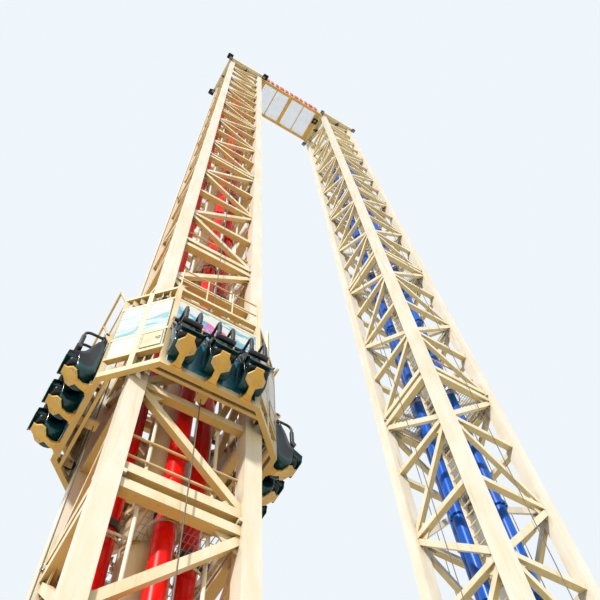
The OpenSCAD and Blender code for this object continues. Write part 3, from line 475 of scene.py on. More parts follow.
def gratingBars(c, x0, x1, y0, y1, z, rounds=(), blocks=()):
    # bars run along Y and rods along X; each is cut where a hole lies
    centres, sizes = [], []
    for x in np.arange(x0 + c["pitch"] / 2, x1, c["pitch"]):
        for a, b in clearRuns(x, y0, y1, rounds, blocks, c["shortest"]):
            centres.append((x, (a + b) / 2, z))
            sizes.append((c["bar"], b - a, c["high"]))
    turnedRounds = [(hy, hx, r) for hx, hy, r in rounds]
    turnedBlocks = [(by0, by1, bx0, bx1) for bx0, bx1, by0, by1 in blocks]
    for y in np.arange(y0 + c["rodPitch"] / 2, y1, c["rodPitch"]):
        for a, b in clearRuns(y, x0, x1, turnedRounds, turnedBlocks, c["shortest"]):
            centres.append(((a + b) / 2, y, z + c["high"] / 2))
            sizes.append((b - a, c["rod"], c["rod"]))
    return boxes(np.array(centres), np.array(sizes))


def band(points, thick, z, high, closed=True, rounds=()):
    # a flat bar on edge along a line of points, left out inside the given round holes
    p = np.asarray(points, float)
    q = np.roll(p, -1, axis=0) if closed else p[1:]
    p = p if closed else p[:-1]
    middle, run = (p + q) / 2, q - p
    clear = [np.hypot(middle[:, 0] - cx, middle[:, 1] - cy) > r for cx, cy, r in rounds]
    keep = np.all(clear or [np.ones(len(p), bool)], axis=0)
    middle, run = middle[keep], run[keep]
    length = np.linalg.norm(run, axis=1)
    u = run / length[:, None]
    turns = np.zeros((len(u), 3, 3))
    turns[:, :2, 0], turns[:, 0, 1], turns[:, 1, 1], turns[:, 2, 2] = u, -u[:, 1], u[:, 0], 1
    same = np.ones(len(u))
    sizes = np.column_stack([length + thick * 0.4, thick * same, high * same])
    return boxes(np.column_stack([middle, z * same]), sizes, turns)


lo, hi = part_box("bridge_floor")
ends = [lo.x + bridgeMesh["in"], hi.x - bridgeMesh["in"], lo.y + bridgeMesh["in"], hi.y - bridgeMesh["in"]]
z, high = (lo.z + hi.z) / 2, hi.z - lo.z
v, f = joined(gratingBars(bridgeMesh, *ends, z), band(rectangle(*ends), bridgeMesh["edge"], z, high))
bridgeGrating = addPiece("bridgeGrating", v, f, "silver", "tower")
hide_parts("bridge_floor")

# Platforms at the section joints: gratings with banded holes for cylinders, tank, pipes and ladder
tankSet = {"wide": 0.198, "slim": 0.175, "levels": (4, 8, 12, 16), "up": 0.21, "boltOut": 0.023,
           "high": 0.044, "count": 20, "head": 0.009, "headHigh": 0.008}
platformSet = {"half": 0.4862, "inset": 0.4302, "down": 0.084, "high": 0.024, "holeR": 0.120,
               "tankGap": 0.026, "hatch": (0.0, 0.34, 0.050, 0.383), "pipe": (0.266, 0.067, 0.023),
               "tab": (0.018, 0.036, 0.060), "railR": 0.011, "railIn": 0.0413, "railUp": (0.32, 0.56),
               "railGap": 0.0003}


def circle(x, y, r, n=40):
    # n points at even angles round (x, y)
    a = 2 * np.pi * np.arange(n) / n
    return np.column_stack([x + r * np.cos(a), y + r * np.sin(a)])


def platformParts(c, tankR):
    # bars, then bands with rails, of one floor about the height 0; tankR 0 means no tank and no pipes
    h, e, edge, high = c["half"], c["inset"], gratingSet["edge"], c["high"]
    at = tower["cylinderAt"]
    rounds = [(mid + at * dx, mid + at * dy, c["holeR"]) for dx, dy in quarters]
    pipes = [(mid + s * c["pipe"][0], *c["pipe"][1:]) for s in (-1, 1)] if tankR else []
    tank = [(mid, mid, tankR + c["tankGap"])] if tankR else []
    spans = ((mid - h, mid - e), (mid + e, mid + h))
    corners = [(*xs, *ys) for xs in spans for ys in spans]
    bars = gratingBars(gratingSet, mid - h, mid + h, mid - h, mid + h, 0, rounds + tank + pipes,
                       corners + [c["hatch"]])
    cross = [(h, -e), (h, e), (e, e), (e, h), (-e, h), (-e, e), (-h, e), (-h, -e), (-e, -e), (-e, -h),
             (e, -h), (e, -e)]
    shapes = [band(np.array(cross) * (1 - edge / h / 2) + mid, edge, 0, high)]
    x1, y0, y1 = c["hatch"][1:]
    shapes.append(band(rectangle(mid - h, x1, y0, y1), edge, 0, high, closed=False))
    for hole in rounds:
        shapes.append(band(circle(*hole), edge, 0, high, rounds=tank))
    for hole in tank:
        shapes.append(band(circle(*hole, 64), edge, 0, high, rounds=rounds))
        out, long, wide = c["tab"]
        for k in range(4):
            turn = math.pi / 4 + k * math.pi / 2
            u = np.array([math.cos(turn), math.sin(turn)])
            tab = [mid + u * (tankR + out - long / 2), mid + u * (tankR + out + long / 2)]
            shapes.append(band(tab, wide, 0, high, closed=False))
    for hole in pipes:
        shapes.append(band(circle(*hole, 16), edge / 2, 0, high))
    rails = [(half + c["railGap"], y, c["down"] + up) for y in (c["railIn"], tower["w"] - c["railIn"])
             for up in c["railUp"]]
    shapes.append(prisms(rails, (1, 0, 0), c["railR"], tower["w"] - 2 * (half + c["railGap"]), 14))
    return bars, joined(*shapes)


def onJoints(shape, x, levels):
    # copies of one floor's shape on the given levels of the tower at x
    return joined(*[(shape[0] + [x, 0, level(n) - platformSet["down"]], shape[1]) for n in levels])


for t, x in towers.items():
    floors = [(tankSet["wide"], joints[:1]), (tankSet["slim"], joints[1:])] if t == "a" else [(0, joints)]
    made = [(platformParts(platformSet, r), levels) for r, levels in floors]
    bars, bands = (joined(*[onJoints(parts[k], x, levels) for parts, levels in made]) for k in (0, 1))
    piece = addPiece(f"tower{t.upper()}FloorBars", *bars, "silver", "tower")
    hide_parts(f"tower_{t}_platforms")
    addPiece(f"tower{t.upper()}FloorBands", *bands, "cream", "tower")

# Bolts round the collars of the cylinders and round the flanges of the air tank
collarSet = {"levels": (2, 6, 10, 14, 18), "r": 0.090, "half": 0.024, "count": 10, "head": 0.008,
             "high": 0.007}


def ringBolts(x, y, r, count, z, way, head, high):
    # heads on a circle at the height z that point up or down
    spots = np.column_stack([circle(x, y, r, count), np.full(count, z)])
    return prisms(spots, (0, 0, way), head, high)


def collarBolts(c, x):
    # rings above and below each collar of the four cylinders
    shapes = []
    for dx, dy in quarters:
        ring = (x + mid + tower["cylinderAt"] * dx, mid + tower["cylinderAt"] * dy, c["r"], c["count"])
        for n in c["levels"]:
            for way in (-1, 1):
                shapes.append(ringBolts(*ring, level(n) + way * c["half"], way, c["head"], c["high"]))
    return joined(*shapes)


def tankBolts(c):
    # rings under and over each pair of flanges; the tank is slimmer above the first pair
    shapes = []
    for n in c["levels"]:
        z = level(n) + tower["bay"] * c["up"]
        r = (c["wide"] if n == c["levels"][0] else c["slim"]) + c["boltOut"]
        for up, way in ((0, -1), (c["high"], 1)):
            shapes.append(ringBolts(mid, mid, r, c["count"], z + up, way, c["head"], c["headHigh"]))
    return joined(*shapes)


for t, x in towers.items():
    addPiece(f"tower{t.upper()}CollarBolts", *collarBolts(collarSet, x), "silver", "tower")
addPiece("tankBolts", *tankBolts(tankSet), "silver", "tower")
print("platforms and collars made")

# Gondolas: their places and the planes of their sides
carSet = {"a": (mid, mid, 6.02), "b": (tower["pitch"] + mid, mid, 0.62)}
sideSet = {"a": 0.815, "b": 0.894, "t": 0.05, "mid": 0.608, "rail": 0.042, "top": 1.236, "low": 0.267,
           "proud": 0.002, "sheet": 0.001, "gap": 0.004}
cornerC = sideSet["b"] * math.sqrt(2) - sideSet["a"]
panelHalf = cornerC - 0.75 * sideSet["t"] - 0.001


def fourSides(points, car, shift=0.0):
    # the points on the four wide sides, or with a shift of 0.5 on the corner sides
    return np.concatenate([turnZ(np.asarray(points) + car, q + shift, car) for q in range(4)])


def upright(x0, x1, y, z0, z1):
    # corners of an upright rectangle that faces -Y
    return np.array([(x, y, z) for x, z in rectangle(x0, x1, z0, z1)])


# Prints: generic soft waves with a patch of round spots
printSet = {"turn": -16, "stretch": (0.6, 1.5, 1), "waves": 1.5, "detail": 3.0, "swirl": 1.0,
            "wave": (0.28, 0.70), "foot": -0.25, "spots": 5.5, "soft": 0.02, "spot": (0.50, 0.44),
            "grimes": 5.0, "grimeLong": 0.3, "grime": (0.60, 0.85, 0.0, 0.5),
            "grimeColour": (0.42, 0.36, 0.24)}


def waveMaterial(name, stops, spotColour, spotAt, spotR, fade):
    # flowing bands, paler towards the top by the fade; spots within spotR of spotAt
    c = printSet
    m, nt, b = newMaterial(name, (0.9, 0.95, 0.96), 0.24)
    uv = printMap(nt)
    waves = noiseOn(nt, uv, c["waves"], c["stretch"], c["detail"], c["turn"], c["swirl"])
    paler = mapped(nt, separate(nt, uv)["Y"], 0.0, 1.0, c["foot"], fade)
    bands = ramp(nt, maths(nt, "SUBTRACT", mapped(nt, waves, *c["wave"]), paler), stops)
    spots = nt.nodes.new("ShaderNodeTexVoronoi")
    spots.inputs["Scale"].default_value = c["spots"]
    nt.links.new(uv, spots.inputs["Vector"])
    near = nt.nodes.new("ShaderNodeVectorMath")
    near.operation = "DISTANCE"
    near.inputs[1].default_value = (*spotAt, 0)
    nt.links.new(uv, near.inputs[0])
    patch = mapped(nt, near.outputs["Value"], spotR + c["soft"], spotR - c["soft"])
    spotted = maths(nt, "MULTIPLY", patch, mapped(nt, spots.outputs["Distance"], *c["spot"]))
    grime = objectNoise(nt, c["grimes"], (1, 1, c["grimeLong"]), 6.0)
    tone = tint(nt, tint(nt, bands, spotColour, spotted), c["grimeColour"], mapped(nt, grime, *c["grime"]))
    nt.links.new(tone, b.inputs["Base Color"])
    return m


boldStops = [(0.05, (0.78, 0.80, 0.74)), (0.96, (0.002, 0.10, 0.22)), (0.30, (0.78, 0.83, 0.80)),
             (0.40, (0.03, 0.42, 0.70)), (0.50, (0.56, 0.78, 0.82)), (0.60, (0.01, 0.34, 0.62)),
             (0.72, (0.22, 0.60, 0.76)), (0.84, (0.005, 0.24, 0.46))]
paleStops = [(0.20, (0.74, 0.77, 0.75)), (0.92, (0.26, 0.54, 0.64)), (0.52, (0.70, 0.76, 0.75)),
             (0.66, (0.42, 0.66, 0.72)), (0.78, (0.68, 0.76, 0.76))]
# blues of the water print behind the seats, kept dark as painted shade of the seats
shadedWaterStops = [(0.05, (0.03, 0.30, 0.44)), (0.95, (0.004, 0.08, 0.13)), (0.40, (0.014, 0.20, 0.32)),
             (0.60, (0.030, 0.28, 0.40)), (0.78, (0.008, 0.14, 0.22))]
wavePrint = waveMaterial("wavePrint", boldStops, (0.82, 0.12, 0.44), (0.62, 0.50), 0.26, 0.20)
palePrint = waveMaterial("palePrint", paleStops, (0.72, 0.64, 0.66), (0.30, 0.60), 0.16, 0.30)
shadedWaterPrint = waveMaterial("shadedWaterPrint", shadedWaterStops, (0.03, 0.30, 0.44), (0.5, 0.5), 0.0, 0.35)


def picture(c, car):
    # a thin sheet on each wide panel; its map runs over width and height in units of the height
    z0, z1 = c["mid"] + c["rail"] + c["gap"], c["top"] - c["gap"]
    x = panelHalf - c["gap"]
    v = upright(-x, x, -c["a"] - c["t"] / 2 + c["proud"] - c["sheet"], z0, z1)
    uv = rectangle(0, 2 * x / (z1 - z0), 0, 1)
    return fourSides(v, car), copied([(0, 1, 2, 3)], 4, 4), np.tile(uv, (4, 1))


# Sheets behind the seats: a water print from the ring beam up to the rail under the pictures, its blues
# darkened as painted shade of the seats
kickSet = {"z0": 0.072, "z1": 0.606, "t": 0.003, "inset": 0.004, "clear": 0.0003}


def kickSheets(c, car):
    # one flat box per wide side; its map runs over width and height in units of the height
    wide, high = 2 * (panelHalf - c["inset"]), c["z1"] - c["z0"]
    y = -sideSet["a"] - sideSet["t"] / 2 - c["t"] / 2 - c["clear"]
    v, f = boxes([(0, y, (c["z0"] + c["z1"]) / 2)], [(wide, c["t"], high)])
    uv = np.stack([(v[:, 0] + wide / 2) / high, (v[:, 2] - c["z0"]) / high], 1)
    return fourSides(v, car), copied(f, 4, len(v)), np.tile(uv, (4, 1))


# Corner sides: pale sheets on the two tall panels, a hatch on one of the two lower ones, and rivets
cornerSet = {"spans": ((-0.2474, -0.0253), (0.0253, 0.2474)), "inset": 0.010, "gap": 0.008, "rivet": 0.004,
             "rivetHigh": 0.0025, "rivetIn": (0.005, 0.006), "rivetRow": 5, "pitch": 0.058}
hatchSet = {"inset": 0.016, "t": 0.005, "rim": 0.008, "rimT": 0.004, "hinge": (0.006, 0.04), "hingeIn": 0.04,
            "hingeOut": 0.002, "latch": (0.024, 0.008, 0.05), "latchIn": 0.028,
            "handle": (0.040, 0.006, 0.014), "handleIn": 0.038, "handleOut": 0.011}
cornerY = -sideSet["b"] - sideSet["t"] / 2 + sideSet["proud"]


def cornerSheets(c, car):
    # two sheets a corner side; one map runs across both, two units on at each corner
    z0, z1 = sideSet["mid"] + sideSet["rail"] + c["gap"], sideSet["top"] - c["gap"]
    y, full = cornerY - sideSet["sheet"], c["spans"][1][1] - c["spans"][0][0]
    v = np.concatenate([upright(a + c["inset"], b - c["inset"], y, z0, z1) for a, b in c["spans"]])
    uv = np.stack([v[:, 0] / full + 0.5, (v[:, 2] - z0) / full], 1)
    uv = np.concatenate([uv + [2 * q, 0] for q in range(4)])
    return fourSides(v, car, 0.5), copied([(0, 1, 2, 3)], 8, 4), uv


def cornerHatches(c, car):
    # a raised plate on the lower right panel, with a rim, two hinge barrels, a latch body and its handle
    z0, z1 = sideSet["low"] + sideSet["rail"] + c["inset"], sideSet["mid"] - c["inset"]
    x0, x1 = cornerSet["spans"][1][0] + c["inset"], cornerSet["spans"][1][1] - c["inset"]
    y, t, zMid, r = cornerY - sideSet["sheet"], c["t"], (z0 + z1) / 2, c["rim"] / 2
    plate = boxes([((x0 + x1) / 2, y - t / 2, zMid)], [(x1 - x0, t, z1 - z0)])
    v, f = band(rectangle(x0 + r, x1 - r, z0 + r, z1 - r), c["rim"], 0, c["rimT"])
    rim = (np.column_stack([v[:, 0], y - t - c["rimT"] / 2 + v[:, 2], v[:, 1]]), f[:, ::-1])
    ends = [(x0 - c["hingeOut"], y - t, z) for z in (z0 + c["hingeIn"], z1 - c["hingeIn"] - c["hinge"][1])]
    hinges = prisms(ends, (0, 0, 1), *c["hinge"], 10)
    latch = boxes([(x1 - c["latchIn"], y - t - c["latch"][1] / 2, zMid),
                   (x1 - c["handleIn"], y - t - c["handleOut"], zMid)], [c["latch"], c["handle"]])
    v, f = joined(plate, rim, hinges, latch)
    return fourSides(v, car, 0.5), copied(f, 4, len(v))


def rivets(c, car):
    # a row of round heads along the four edges of each corner panel
    inX, inZ = c["rivetIn"]
    rail, spots = sideSet["rail"], []
    for z0, z1 in ((sideSet["low"] + rail, sideSet["mid"]), (sideSet["mid"] + rail, sideSet["top"])):
        up = np.linspace(z0 + inZ, z1 - inZ, max(3, round((z1 - z0) / c["pitch"])))
        for a, b in c["spans"]:
            along = np.linspace(a + inX, b - inX, c["rivetRow"])
            spots += [(x, cornerY, z) for x in (a + inX, b - inX) for z in up]
            spots += [(x, cornerY, z) for x in along for z in (up[0], up[-1])]
    v, f = prisms(spots, (0, -1, 0), c["rivet"], c["rivetHigh"], 8)
    return fourSides(v, car, 0.5), copied(f, 4, len(v))


for t, car in carSet.items():
    v, f, uv = picture(sideSet, car)
    addPiece(f"gondola{t.upper()}Picture", v, f, wavePrint, f"gondola_{t}", uv=uv)
    v, f, uv = kickSheets(kickSet, car)
    addPiece(f"gondola{t.upper()}KickSheets", v, f, shadedWaterPrint, f"gondola_{t}", uv=uv)
    v, f, uv = cornerSheets(cornerSet, car)
    addPiece(f"gondola{t.upper()}Sheets", v, f, palePrint, f"gondola_{t}", uv=uv)
    addPiece(f"gondola{t.upper()}Hatches", *cornerHatches(hatchSet, car), "hatch", f"gondola_{t}")
    addPiece(f"gondola{t.upper()}Rivets", *rivets(cornerSet, car), "silver", f"gondola_{t}")
print("pictures and corner panels made")

# Seats: a padded pad with raised bolsters along the seat's line, and a moulded shell round it
seatSet = {"pitch": 0.32, "row": 3, "w": 0.20, "r0": 0.046, "reach": 0.30, "z": 0.16, "top": 0.70, "t": 0.07,
           "corner": 0.075, "topIn": 0.02, "frontIn": 0.018}
padSet = {"around": 40, "end": 0.045, "taper": 0.30, "taperTo": 0.22, "sidePower": 0.45, "facePower": 0.6,
          "frontPower": 0.3, "bolster": 0.034, "bolsterFrom": 0.52, "bolsterWide": 0.34, "bolsterLow": 0.14,
          "fade": 0.12, "crown": 0.006, "crownWide": 0.55, "swells": 5, "seams": (0.20, 0.40, 0.62, 0.80),
          "groove": 0.006, "seamWide": 0.012, "centre": 0.60, "weltWide": 0.045}


def seatPath(c, inset, n=56):
    # down the back, round the corner and out along the pan: (r, z) points and unit normals towards the rider
    r, z, k = c["r0"] + inset, c["z"] + inset, c["corner"]
    down = np.linspace(c["top"] - c["topIn"], z + k, n // 2)
    turn = np.linspace(0, np.pi / 2, n // 4 + 2)[1:-1]
    out = np.linspace(r + k, c["reach"] - c["frontIn"], n // 4)
    pr = np.concatenate([np.full(len(down), r), r + k - k * np.cos(turn), out])
    pz = np.concatenate([down, z + k - k * np.sin(turn), np.full(len(out), z)])
    nr = np.concatenate([np.ones(len(down)), np.cos(turn), np.zeros(len(out))])
    nz = np.concatenate([np.zeros(len(down)), np.sin(turn), np.ones(len(out))])
    return np.stack([pr, pz], 1), np.stack([nr, nz], 1)


def runLength(path):
    # share of a path's length up to each point
    s = np.concatenate([[0], np.cumsum(np.linalg.norm(np.diff(path, axis=0), axis=1))])
    return s / s[-1]


def outward(x, r, z):
    # grid points (x, -r, z); x may be one row or one column
    return np.stack([np.broadcast_to(x, r.shape), -r, z], 2).reshape(-1, 3)


def seatPadSurface(c, seat):
    # superellipse sections along the seat's line; the front is crowned, with bolsters and pinched seams
    line, normal = seatPath(seat, seat["t"] * 0.5)
    s = runLength(line)[:, None]
    w = (2 * np.pi * (np.arange(c["around"]) + 0.5) / c["around"])[None]
    end = np.clip(np.minimum(s, 1 - s) / c["end"], 0, 1)
    fit = np.sqrt(1 - (1 - end) ** 2) * 0.98 + 0.02
    halfWide = seat["w"] / 2 * (1 - c["taper"] * np.clip((c["taperTo"] - s) / c["taperTo"], 0, 1) ** 1.5)
    x = halfWide * fit * np.sign(np.cos(w)) * np.abs(np.cos(w)) ** c["sidePower"]
    across = np.abs(x) / halfWide
    thick = seat["t"] / 2 * fit * np.sign(np.sin(w)) * np.abs(np.sin(w)) ** c["facePower"]
    front = (np.sin(w) > 0) * np.abs(np.sin(w)) ** c["frontPower"]
    rise = c["bolster"] * np.clip((across - c["bolsterFrom"]) / c["bolsterWide"], 0, 1) ** 2
    rise = rise * np.clip((1.05 - across) / 0.2, 0, 1)
    rise = rise * np.clip((s - c["bolsterLow"]) / c["fade"], 0, 1) * np.clip((1 - s) / c["fade"], 0, 1)
    crown = c["crown"] * np.cos(np.pi / 2 * np.clip(across / c["crownWide"], 0, 1))
    crown = crown * np.abs(np.sin(c["swells"] * np.pi * s)) ** 0.5
    pinch = sum(c["groove"] * np.exp(-((s - at) / c["seamWide"]) ** 2) for at in c["seams"])
    pinch = pinch * (across < c["centre"])
    welt = 0.5 * c["groove"] * np.exp(-((across - c["centre"]) / c["weltWide"]) ** 2)
    lift = thick + front * fit * (rise + crown - pinch - welt)
    points = outward(x, line[:, :1] + normal[:, :1] * lift, line[:, 1:] + normal[:, 1:] * lift)
    return points, gridFaces(len(line), c["around"], wrap=True, caps=True)


shellSet = {"wall": 0.009, "bowR": 0.075, "lipR": 0.026, "low": 0.076, "topIn": 0.06, "skin": 0.006,
            "round": 0.018, "gap": 0.006, "floor": 0.60, "bend": 0.12, "flare": 0.024, "flarePower": 1.6,
            "passes": 6,
            "edge": [(0.070, 0.640), (0.100, 0.560), (0.138, 0.470), (0.158, 0.380), (0.185, 0.310),
                     (0.240, 0.272), (0.302, 0.240)]}


def shellSurface(c, seat, n=60, across=34):
    # a U section carried down the back, round the bow and up to the lip, its cheeks flared to a smoothed edge
    bow = np.array([seat["r0"] + c["bowR"], c["low"] + c["bowR"]])
    lip = np.array([seat["reach"] - c["lipR"], seat["z"] + c["lipR"]])
    gap = lip - bow
    turnEnd = math.pi - math.atan2(gap[1], gap[0]) + math.acos((c["bowR"] - c["lipR"]) / np.linalg.norm(gap))
    a = np.linspace(0, turnEnd, n // 3)
    down = np.linspace(seat["top"] - c["topIn"], bow[1], n // 3, endpoint=False)
    bend = np.linspace(turnEnd, math.pi, n // 6)
    skin = c["skin"]
    path = np.concatenate([np.stack([np.full(len(down), seat["r0"] - skin), down], 1),
                           bow + (c["bowR"] + skin) * np.stack([-np.cos(a), -np.sin(a)], 1),
                           lip + (c["lipR"] + skin) * np.stack([-np.cos(bend), -np.sin(bend)], 1)])
    s = runLength(path)
    edge = np.array(c["edge"])
    target = np.stack([np.interp(s, np.linspace(0, 1, len(edge)), edge[:, k]) for k in range(2)], 1)
    for _ in range(c["passes"]):
        target[1:-1] = (target[:-2] + target[1:-1] * 2 + target[2:]) / 4
    reach = target - path
    length = np.linalg.norm(reach, axis=1)[:, None]
    reach = reach / length
    q = np.linspace(-1, 1, across)[None]
    corner = np.clip((np.abs(q) - c["floor"]) / c["bend"], 0, 1) * np.pi / 2
    side = np.clip((np.abs(q) - c["floor"] - c["bend"]) / (1 - c["floor"] - c["bend"]), 0, 1)
    flat = np.minimum(np.abs(q) / c["floor"], 1) * (seat["w"] / 2 + c["gap"] - c["round"])
    x = np.sign(q) * (flat + c["round"] * np.sin(corner) + c["flare"] * side ** c["flarePower"])
    up = c["round"] * (1 - np.cos(corner)) + (length - c["round"]) * side
    points = outward(x, path[:, :1] + reach[:, :1] * up, path[:, 1:] + reach[:, 1:] * up)
    uv = np.stack(np.broadcast_arrays(q, s[:, None]), 2).reshape(-1, 2)
    return points, gridFaces(len(path), across), uv


def shellMaterial():
    # dark teal bowl with black cheeks; the map's first axis runs across the shell from -1 to 1
    m = paint("shellPlastic", *plastic)
    nt = m.node_tree
    b = nt.nodes["Principled BSDF"]
    tone = b.inputs["Base Color"].links[0].from_socket
    side = mapped(nt, maths(nt, "ABSOLUTE", separate(nt, printMap(nt))["X"]), 0.76, 0.80)
    nt.links.new(tint(nt, tone, (0.004, 0.007, 0.008), side), b.inputs["Base Color"])
    b.inputs["Specular IOR Level"].default_value = 0.35
    b.inputs["Coat Weight"].default_value = 0.25
    return m


def seatRow(local):
    # copies of one seat's points along the front row
    x = (np.arange(seatSet["row"]) - (seatSet["row"] - 1) / 2) * seatSet["pitch"]
    return (np.asarray(local) + np.stack([x, 0 * x - sideSet["a"], 0 * x], 1)[:, None]).reshape(-1, 3)


shellPlastic = shellMaterial()
seats = 4 * seatSet["row"]
for t, car in carSet.items():
    v, f = seatPadSurface(padSet, seatSet)
    pad = addPiece(f"gondola{t.upper()}SeatPads", fourSides(seatRow(v), car), copied(f, seats, len(v)),
                   "black", f"gondola_{t}", True)
    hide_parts(f"gondola_{t}_seats")
    v, f, uv = shellSurface(shellSet, seatSet)
    shell = addPiece(f"gondola{t.upper()}SeatShells", fourSides(seatRow(v), car), copied(f, seats, len(v)),
                     shellPlastic, f"gondola_{t}", True, np.tile(uv, (seats, 1)))
    wall = shell.modifiers.new("wall", "SOLIDIFY")
    wall.thickness, wall.offset = shellSet["wall"], 0
    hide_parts(f"gondola_{t}_shells")
print("seats made")

# Bolts of the seat brackets: four through each paddle and four through each foot
bracketSet = {"low": (0.1582, 0.0554), "high": (0.2919, 0.1396), "along": (0.16, 0.42), "side": 0.055,
              "head": 0.009, "headHigh": 0.007, "foot": 0.0395, "footX": 0.040, "footZ": (0.018, 0.052)}


def bracketBolts(c):
    # the paddle's bolts stand square to its slope from low to high, the foot's point outwards
    low, high = np.array(c["low"]), np.array(c["high"])
    run = (high - low) / np.linalg.norm(high - low)
    places = [low + (high - low) * t for t in c["along"]]
    spots = [(s * c["side"], -r, z) for r, z in places for s in (-1, 1)]
    foot = [(s * c["footX"], -c["foot"], z) for s in (-1, 1) for z in c["footZ"]]
    return joined(prisms(spots, (0, -run[1], -run[0]), c["head"], c["headHigh"]),
                  prisms(foot, (0, -1, 0), c["head"], c["headHigh"]))


# Nuts on the axles of the guide rollers, outside both cheeks of each fork
rollerSet = {"y": 0.669, "out": 0.031, "nut": 0.016, "high": 0.010, "end": (0.5, 1.8),
             "levels": (0.135, 1.416)}


def rollerNuts(c, car):
    # a nut and the thin end of its axle on both sides of each roller
    shapes = []
    for way in (-1, 1):
        spots = np.array([(s * mid + way * c["out"], -c["y"], z) for s in (-1, 1) for z in c["levels"]])
        shapes.append(prisms(spots, (way, 0, 0), c["nut"], c["high"]))
        shapes.append(prisms(spots, (way, 0, 0), c["nut"] * c["end"][0], c["high"] * c["end"][1], 12))
    v, f = joined(*shapes)
    return fourSides(v, car), copied(f, 4, len(v))


for t, car in carSet.items():
    v, f = bracketBolts(bracketSet)
    addPiece(f"gondola{t.upper()}BracketBolts", fourSides(seatRow(v), car), copied(f, seats, len(v)),
             "silver", f"gondola_{t}")
    addPiece(f"gondola{t.upper()}RollerNuts", *rollerNuts(rollerSet, car), "silver", f"gondola_{t}")
print("gondola bolts made")

# Foam sleeves on the restraints, ribbed where the rider holds them
sleeveSet = {"r": 0.0285, "half": 0.088, "shaftR": 0.062, "shaftZ": 0.742, "reach": 0.180, "drop": 0.30,
             "gap": 0.132, "collar": 0.021, "from": 0.10, "to": 0.27, "ribs": 40, "groove": 0.0012, "ends": 9}


def sleeve(c):
    # a ribbed roll across the two bars: its radius, rounded off at the ends, turned about the X axis
    n, around = 33, 20
    t = np.linspace(-1, 1, n)
    r = c["r"] * np.sqrt(np.clip(1 - np.abs(t) ** c["ends"], 0.02, 1))
    r = r - c["groove"] * (np.cos(t * c["ribs"]) > 0.4)
    a = 2 * np.pi * np.arange(around) / around
    out = c["shaftR"] + c["reach"] - r[:, None] * np.cos(a)
    z = c["shaftZ"] - c["drop"] + r[:, None] * np.sin(a)
    return outward(t[:, None] * c["half"], out, z), gridFaces(n, around, wrap=True, caps=True)


def barFoam(c):
    # foam on the upright stretch of each bar
    down, y = np.linspace(c["from"], c["to"], 9), -(c["shaftR"] + c["reach"])
    lines = [[(s * c["gap"] / 2, y, c["shaftZ"] - d) for d in down] for s in (-1, 1)]
    return joined(*[sweep(line, c["collar"], 14) for line in lines])


for t, car in carSet.items():
    v, f = joined(sleeve(sleeveSet), barFoam(sleeveSet))
    row = seatRow(v) + car
    for q, side in enumerate(("front", "right", "back", "left")):
        foam = addPiece(f"restraintFoam{t.upper()}{side.capitalize()}", turnZ(row, q, car),
                        copied(f, seatSet["row"], len(v)), "black", f"restraint_row_{t}_{side}", True)
print("restraints made")

# Sign over the bridge: plain raised red blocks of uneven width on the pale board, no lettering
signSet = {"count": 11, "fill": 0.78, "wide": 0.15, "vary": 0.20, "step": 2.1, "deep": 0.03, "sink": 0.001,
           "end": 0.17, "up": 0.01}
lo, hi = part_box("bridge_sign")
same = np.ones(signSet["count"])
xs = np.linspace(lo.x + signSet["end"], hi.x - signSet["end"], signSet["count"])
uneven = np.cos(np.arange(signSet["count"]) * signSet["step"])
wide = signSet["wide"] * (1 - signSet["vary"] + signSet["vary"] * uneven)
high = (hi.z - lo.z) * signSet["fill"]
y, z = lo.y - signSet["deep"] / 2 + signSet["sink"], (lo.z + hi.z) / 2 + signSet["up"]
v, f = boxes(np.stack([xs, y * same, z * same], 1), np.stack([wide, signSet["deep"] * same, high * same], 1))
addPiece("signBlocks", v, f, "red", "tower")
print("sign made")

# Floodlights: a lens under each body, ribs on its four sides and a flared hood that leans away from the leg
lampSet = {"c": half + 0.061, "z": level(tower["bays"]) + 0.058, "wide": 0.110,
           "bridge": (3.5647, mid - 0.26), "ribs": 7, "rib": (0.003, 0.006, 0.070), "ribSpan": 0.42,
           "ribZ": -0.080, "hooded": [0, 1, 2, 3, 8], "lens": (0.074, 0.074, 0.003), "lensZ": -0.169,
           "lensColour": (0.28, 0.31, 0.32), "cut": 0.8,
           "hood": [(-0.120, 0.060, 0), (-0.190, 0.098, 0.038), (-0.190, 0.094, 0.038), (-0.124, 0.056, 0)]}


def lampSpots(c):
    # middles of the lamps, and for each the two directions that lead away from its leg
    far = tower["w"] + c["c"]
    ends = [(x, y) for x in (-c["c"], far) for y in (-c["c"], far)]
    ways = [(-1 if x < 0 else 1, -1 if y < 0 else 1) for x, y in ends] * len(towers) + [(0, 0)]
    spots = [(x + start, y, c["z"]) for start in towers.values() for x, y in ends] + [(*c["bridge"], c["z"])]
    return np.array(spots), np.array(ways)


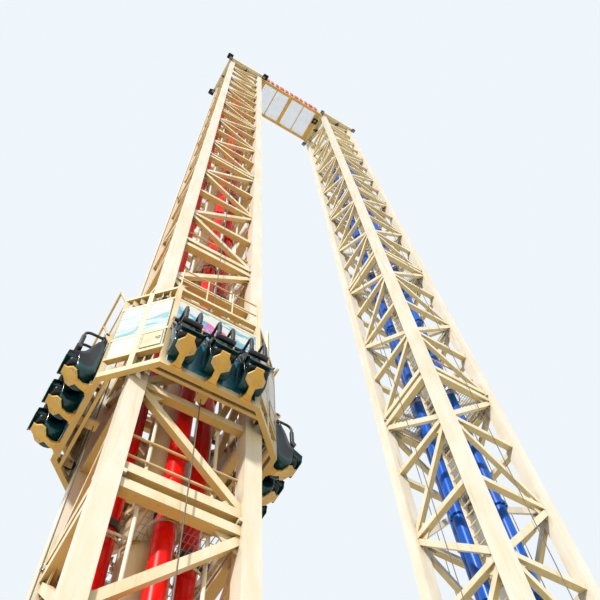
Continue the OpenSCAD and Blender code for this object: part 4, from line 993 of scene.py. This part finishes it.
def lampHoods(c, spots, ways):
    # rings of a square with cut corners, each (height, half width, push), down the outside and up the inside
    k = c["cut"]
    ring = np.array([(1, -k), (1, k), (k, 1), (-k, 1), (-1, k), (-1, -k), (-k, -1), (k, -1)])
    z, wide, push = np.array(c["hood"]).T
    flat = ring[None, None] * wide[None, :, None, None] + ways[:, None, None] * push[None, :, None, None]
    flat = flat + spots[:, None, None, :2]
    high = np.broadcast_to((spots[:, 2:3] + z[None])[:, :, None, None], flat.shape[:3] + (1,))
    count = len(z) * len(ring)
    faces = [tuple(i % count for i in q)[::-1] for q in gridFaces(len(z) + 1, len(ring), wrap=True)]
    return np.concatenate([flat, high], 3).reshape(-1, 3), copied(faces, len(spots), count)


def lampRibs(c, spots):
    # upright fins in a row on each of the four sides
    x = np.linspace(-c["ribSpan"], c["ribSpan"], c["ribs"]) * c["wide"]
    thick, deep, high = c["rib"]
    out = (c["wide"] + deep) / 2
    centres, sizes = [], []
    for s in (-1, 1):
        centres += [(at, s * out, c["ribZ"]) for at in x] + [(s * out, at, c["ribZ"]) for at in x]
        sizes += [(thick, deep, high)] * len(x) + [(deep, thick, high)] * len(x)
    v, f = boxes(np.array(centres), np.array(sizes))
    return (v[None] + spots[:, None]).reshape(-1, 3), copied(f, len(spots), len(v))


spots, ways = lampSpots(lampSet)
hooded = lampSet["hooded"]
addPiece("lampRibs", *lampRibs(lampSet, spots), "dark", "tower")
addPiece("lampHoods", *lampHoods(lampSet, spots[hooded], ways[hooded]), "dark", "tower")
v, f = boxes(spots + [0, 0, lampSet["lensZ"]], [lampSet["lens"]])
addPiece("lampLenses", v, f, newMaterial("lampLens", lampSet["lensColour"], 0.08)[0], "tower")
print("lamps made")

# Floor: plain and pale where it is seen, warmer in the light it throws back
floorSet = {"size": 60, "colour": (0.82, 0.82, 0.80), "bounce": (0.58, 0.50, 0.34)}


def makeFloor(c):
    s = c["size"]
    mesh = bpy.data.meshes.new("floor")
    mesh.from_pydata([(-s, -s, 0), (s, -s, 0), (s, s, 0), (-s, s, 0)], [], [(0, 1, 2, 3)])
    m, nt, b = newMaterial("floorPaint", c["colour"], 0.8)
    thrown = nt.nodes.new("ShaderNodeRGB")
    thrown.outputs[0].default_value = (*c["bounce"], 1)
    nt.links.new(tint(nt, thrown.outputs[0], c["colour"], seenRays(nt)), b.inputs["Base Color"])
    mesh.materials.append(m)
    floor = linked("floor", mesh)


makeFloor(floorSet)
print("floor made")
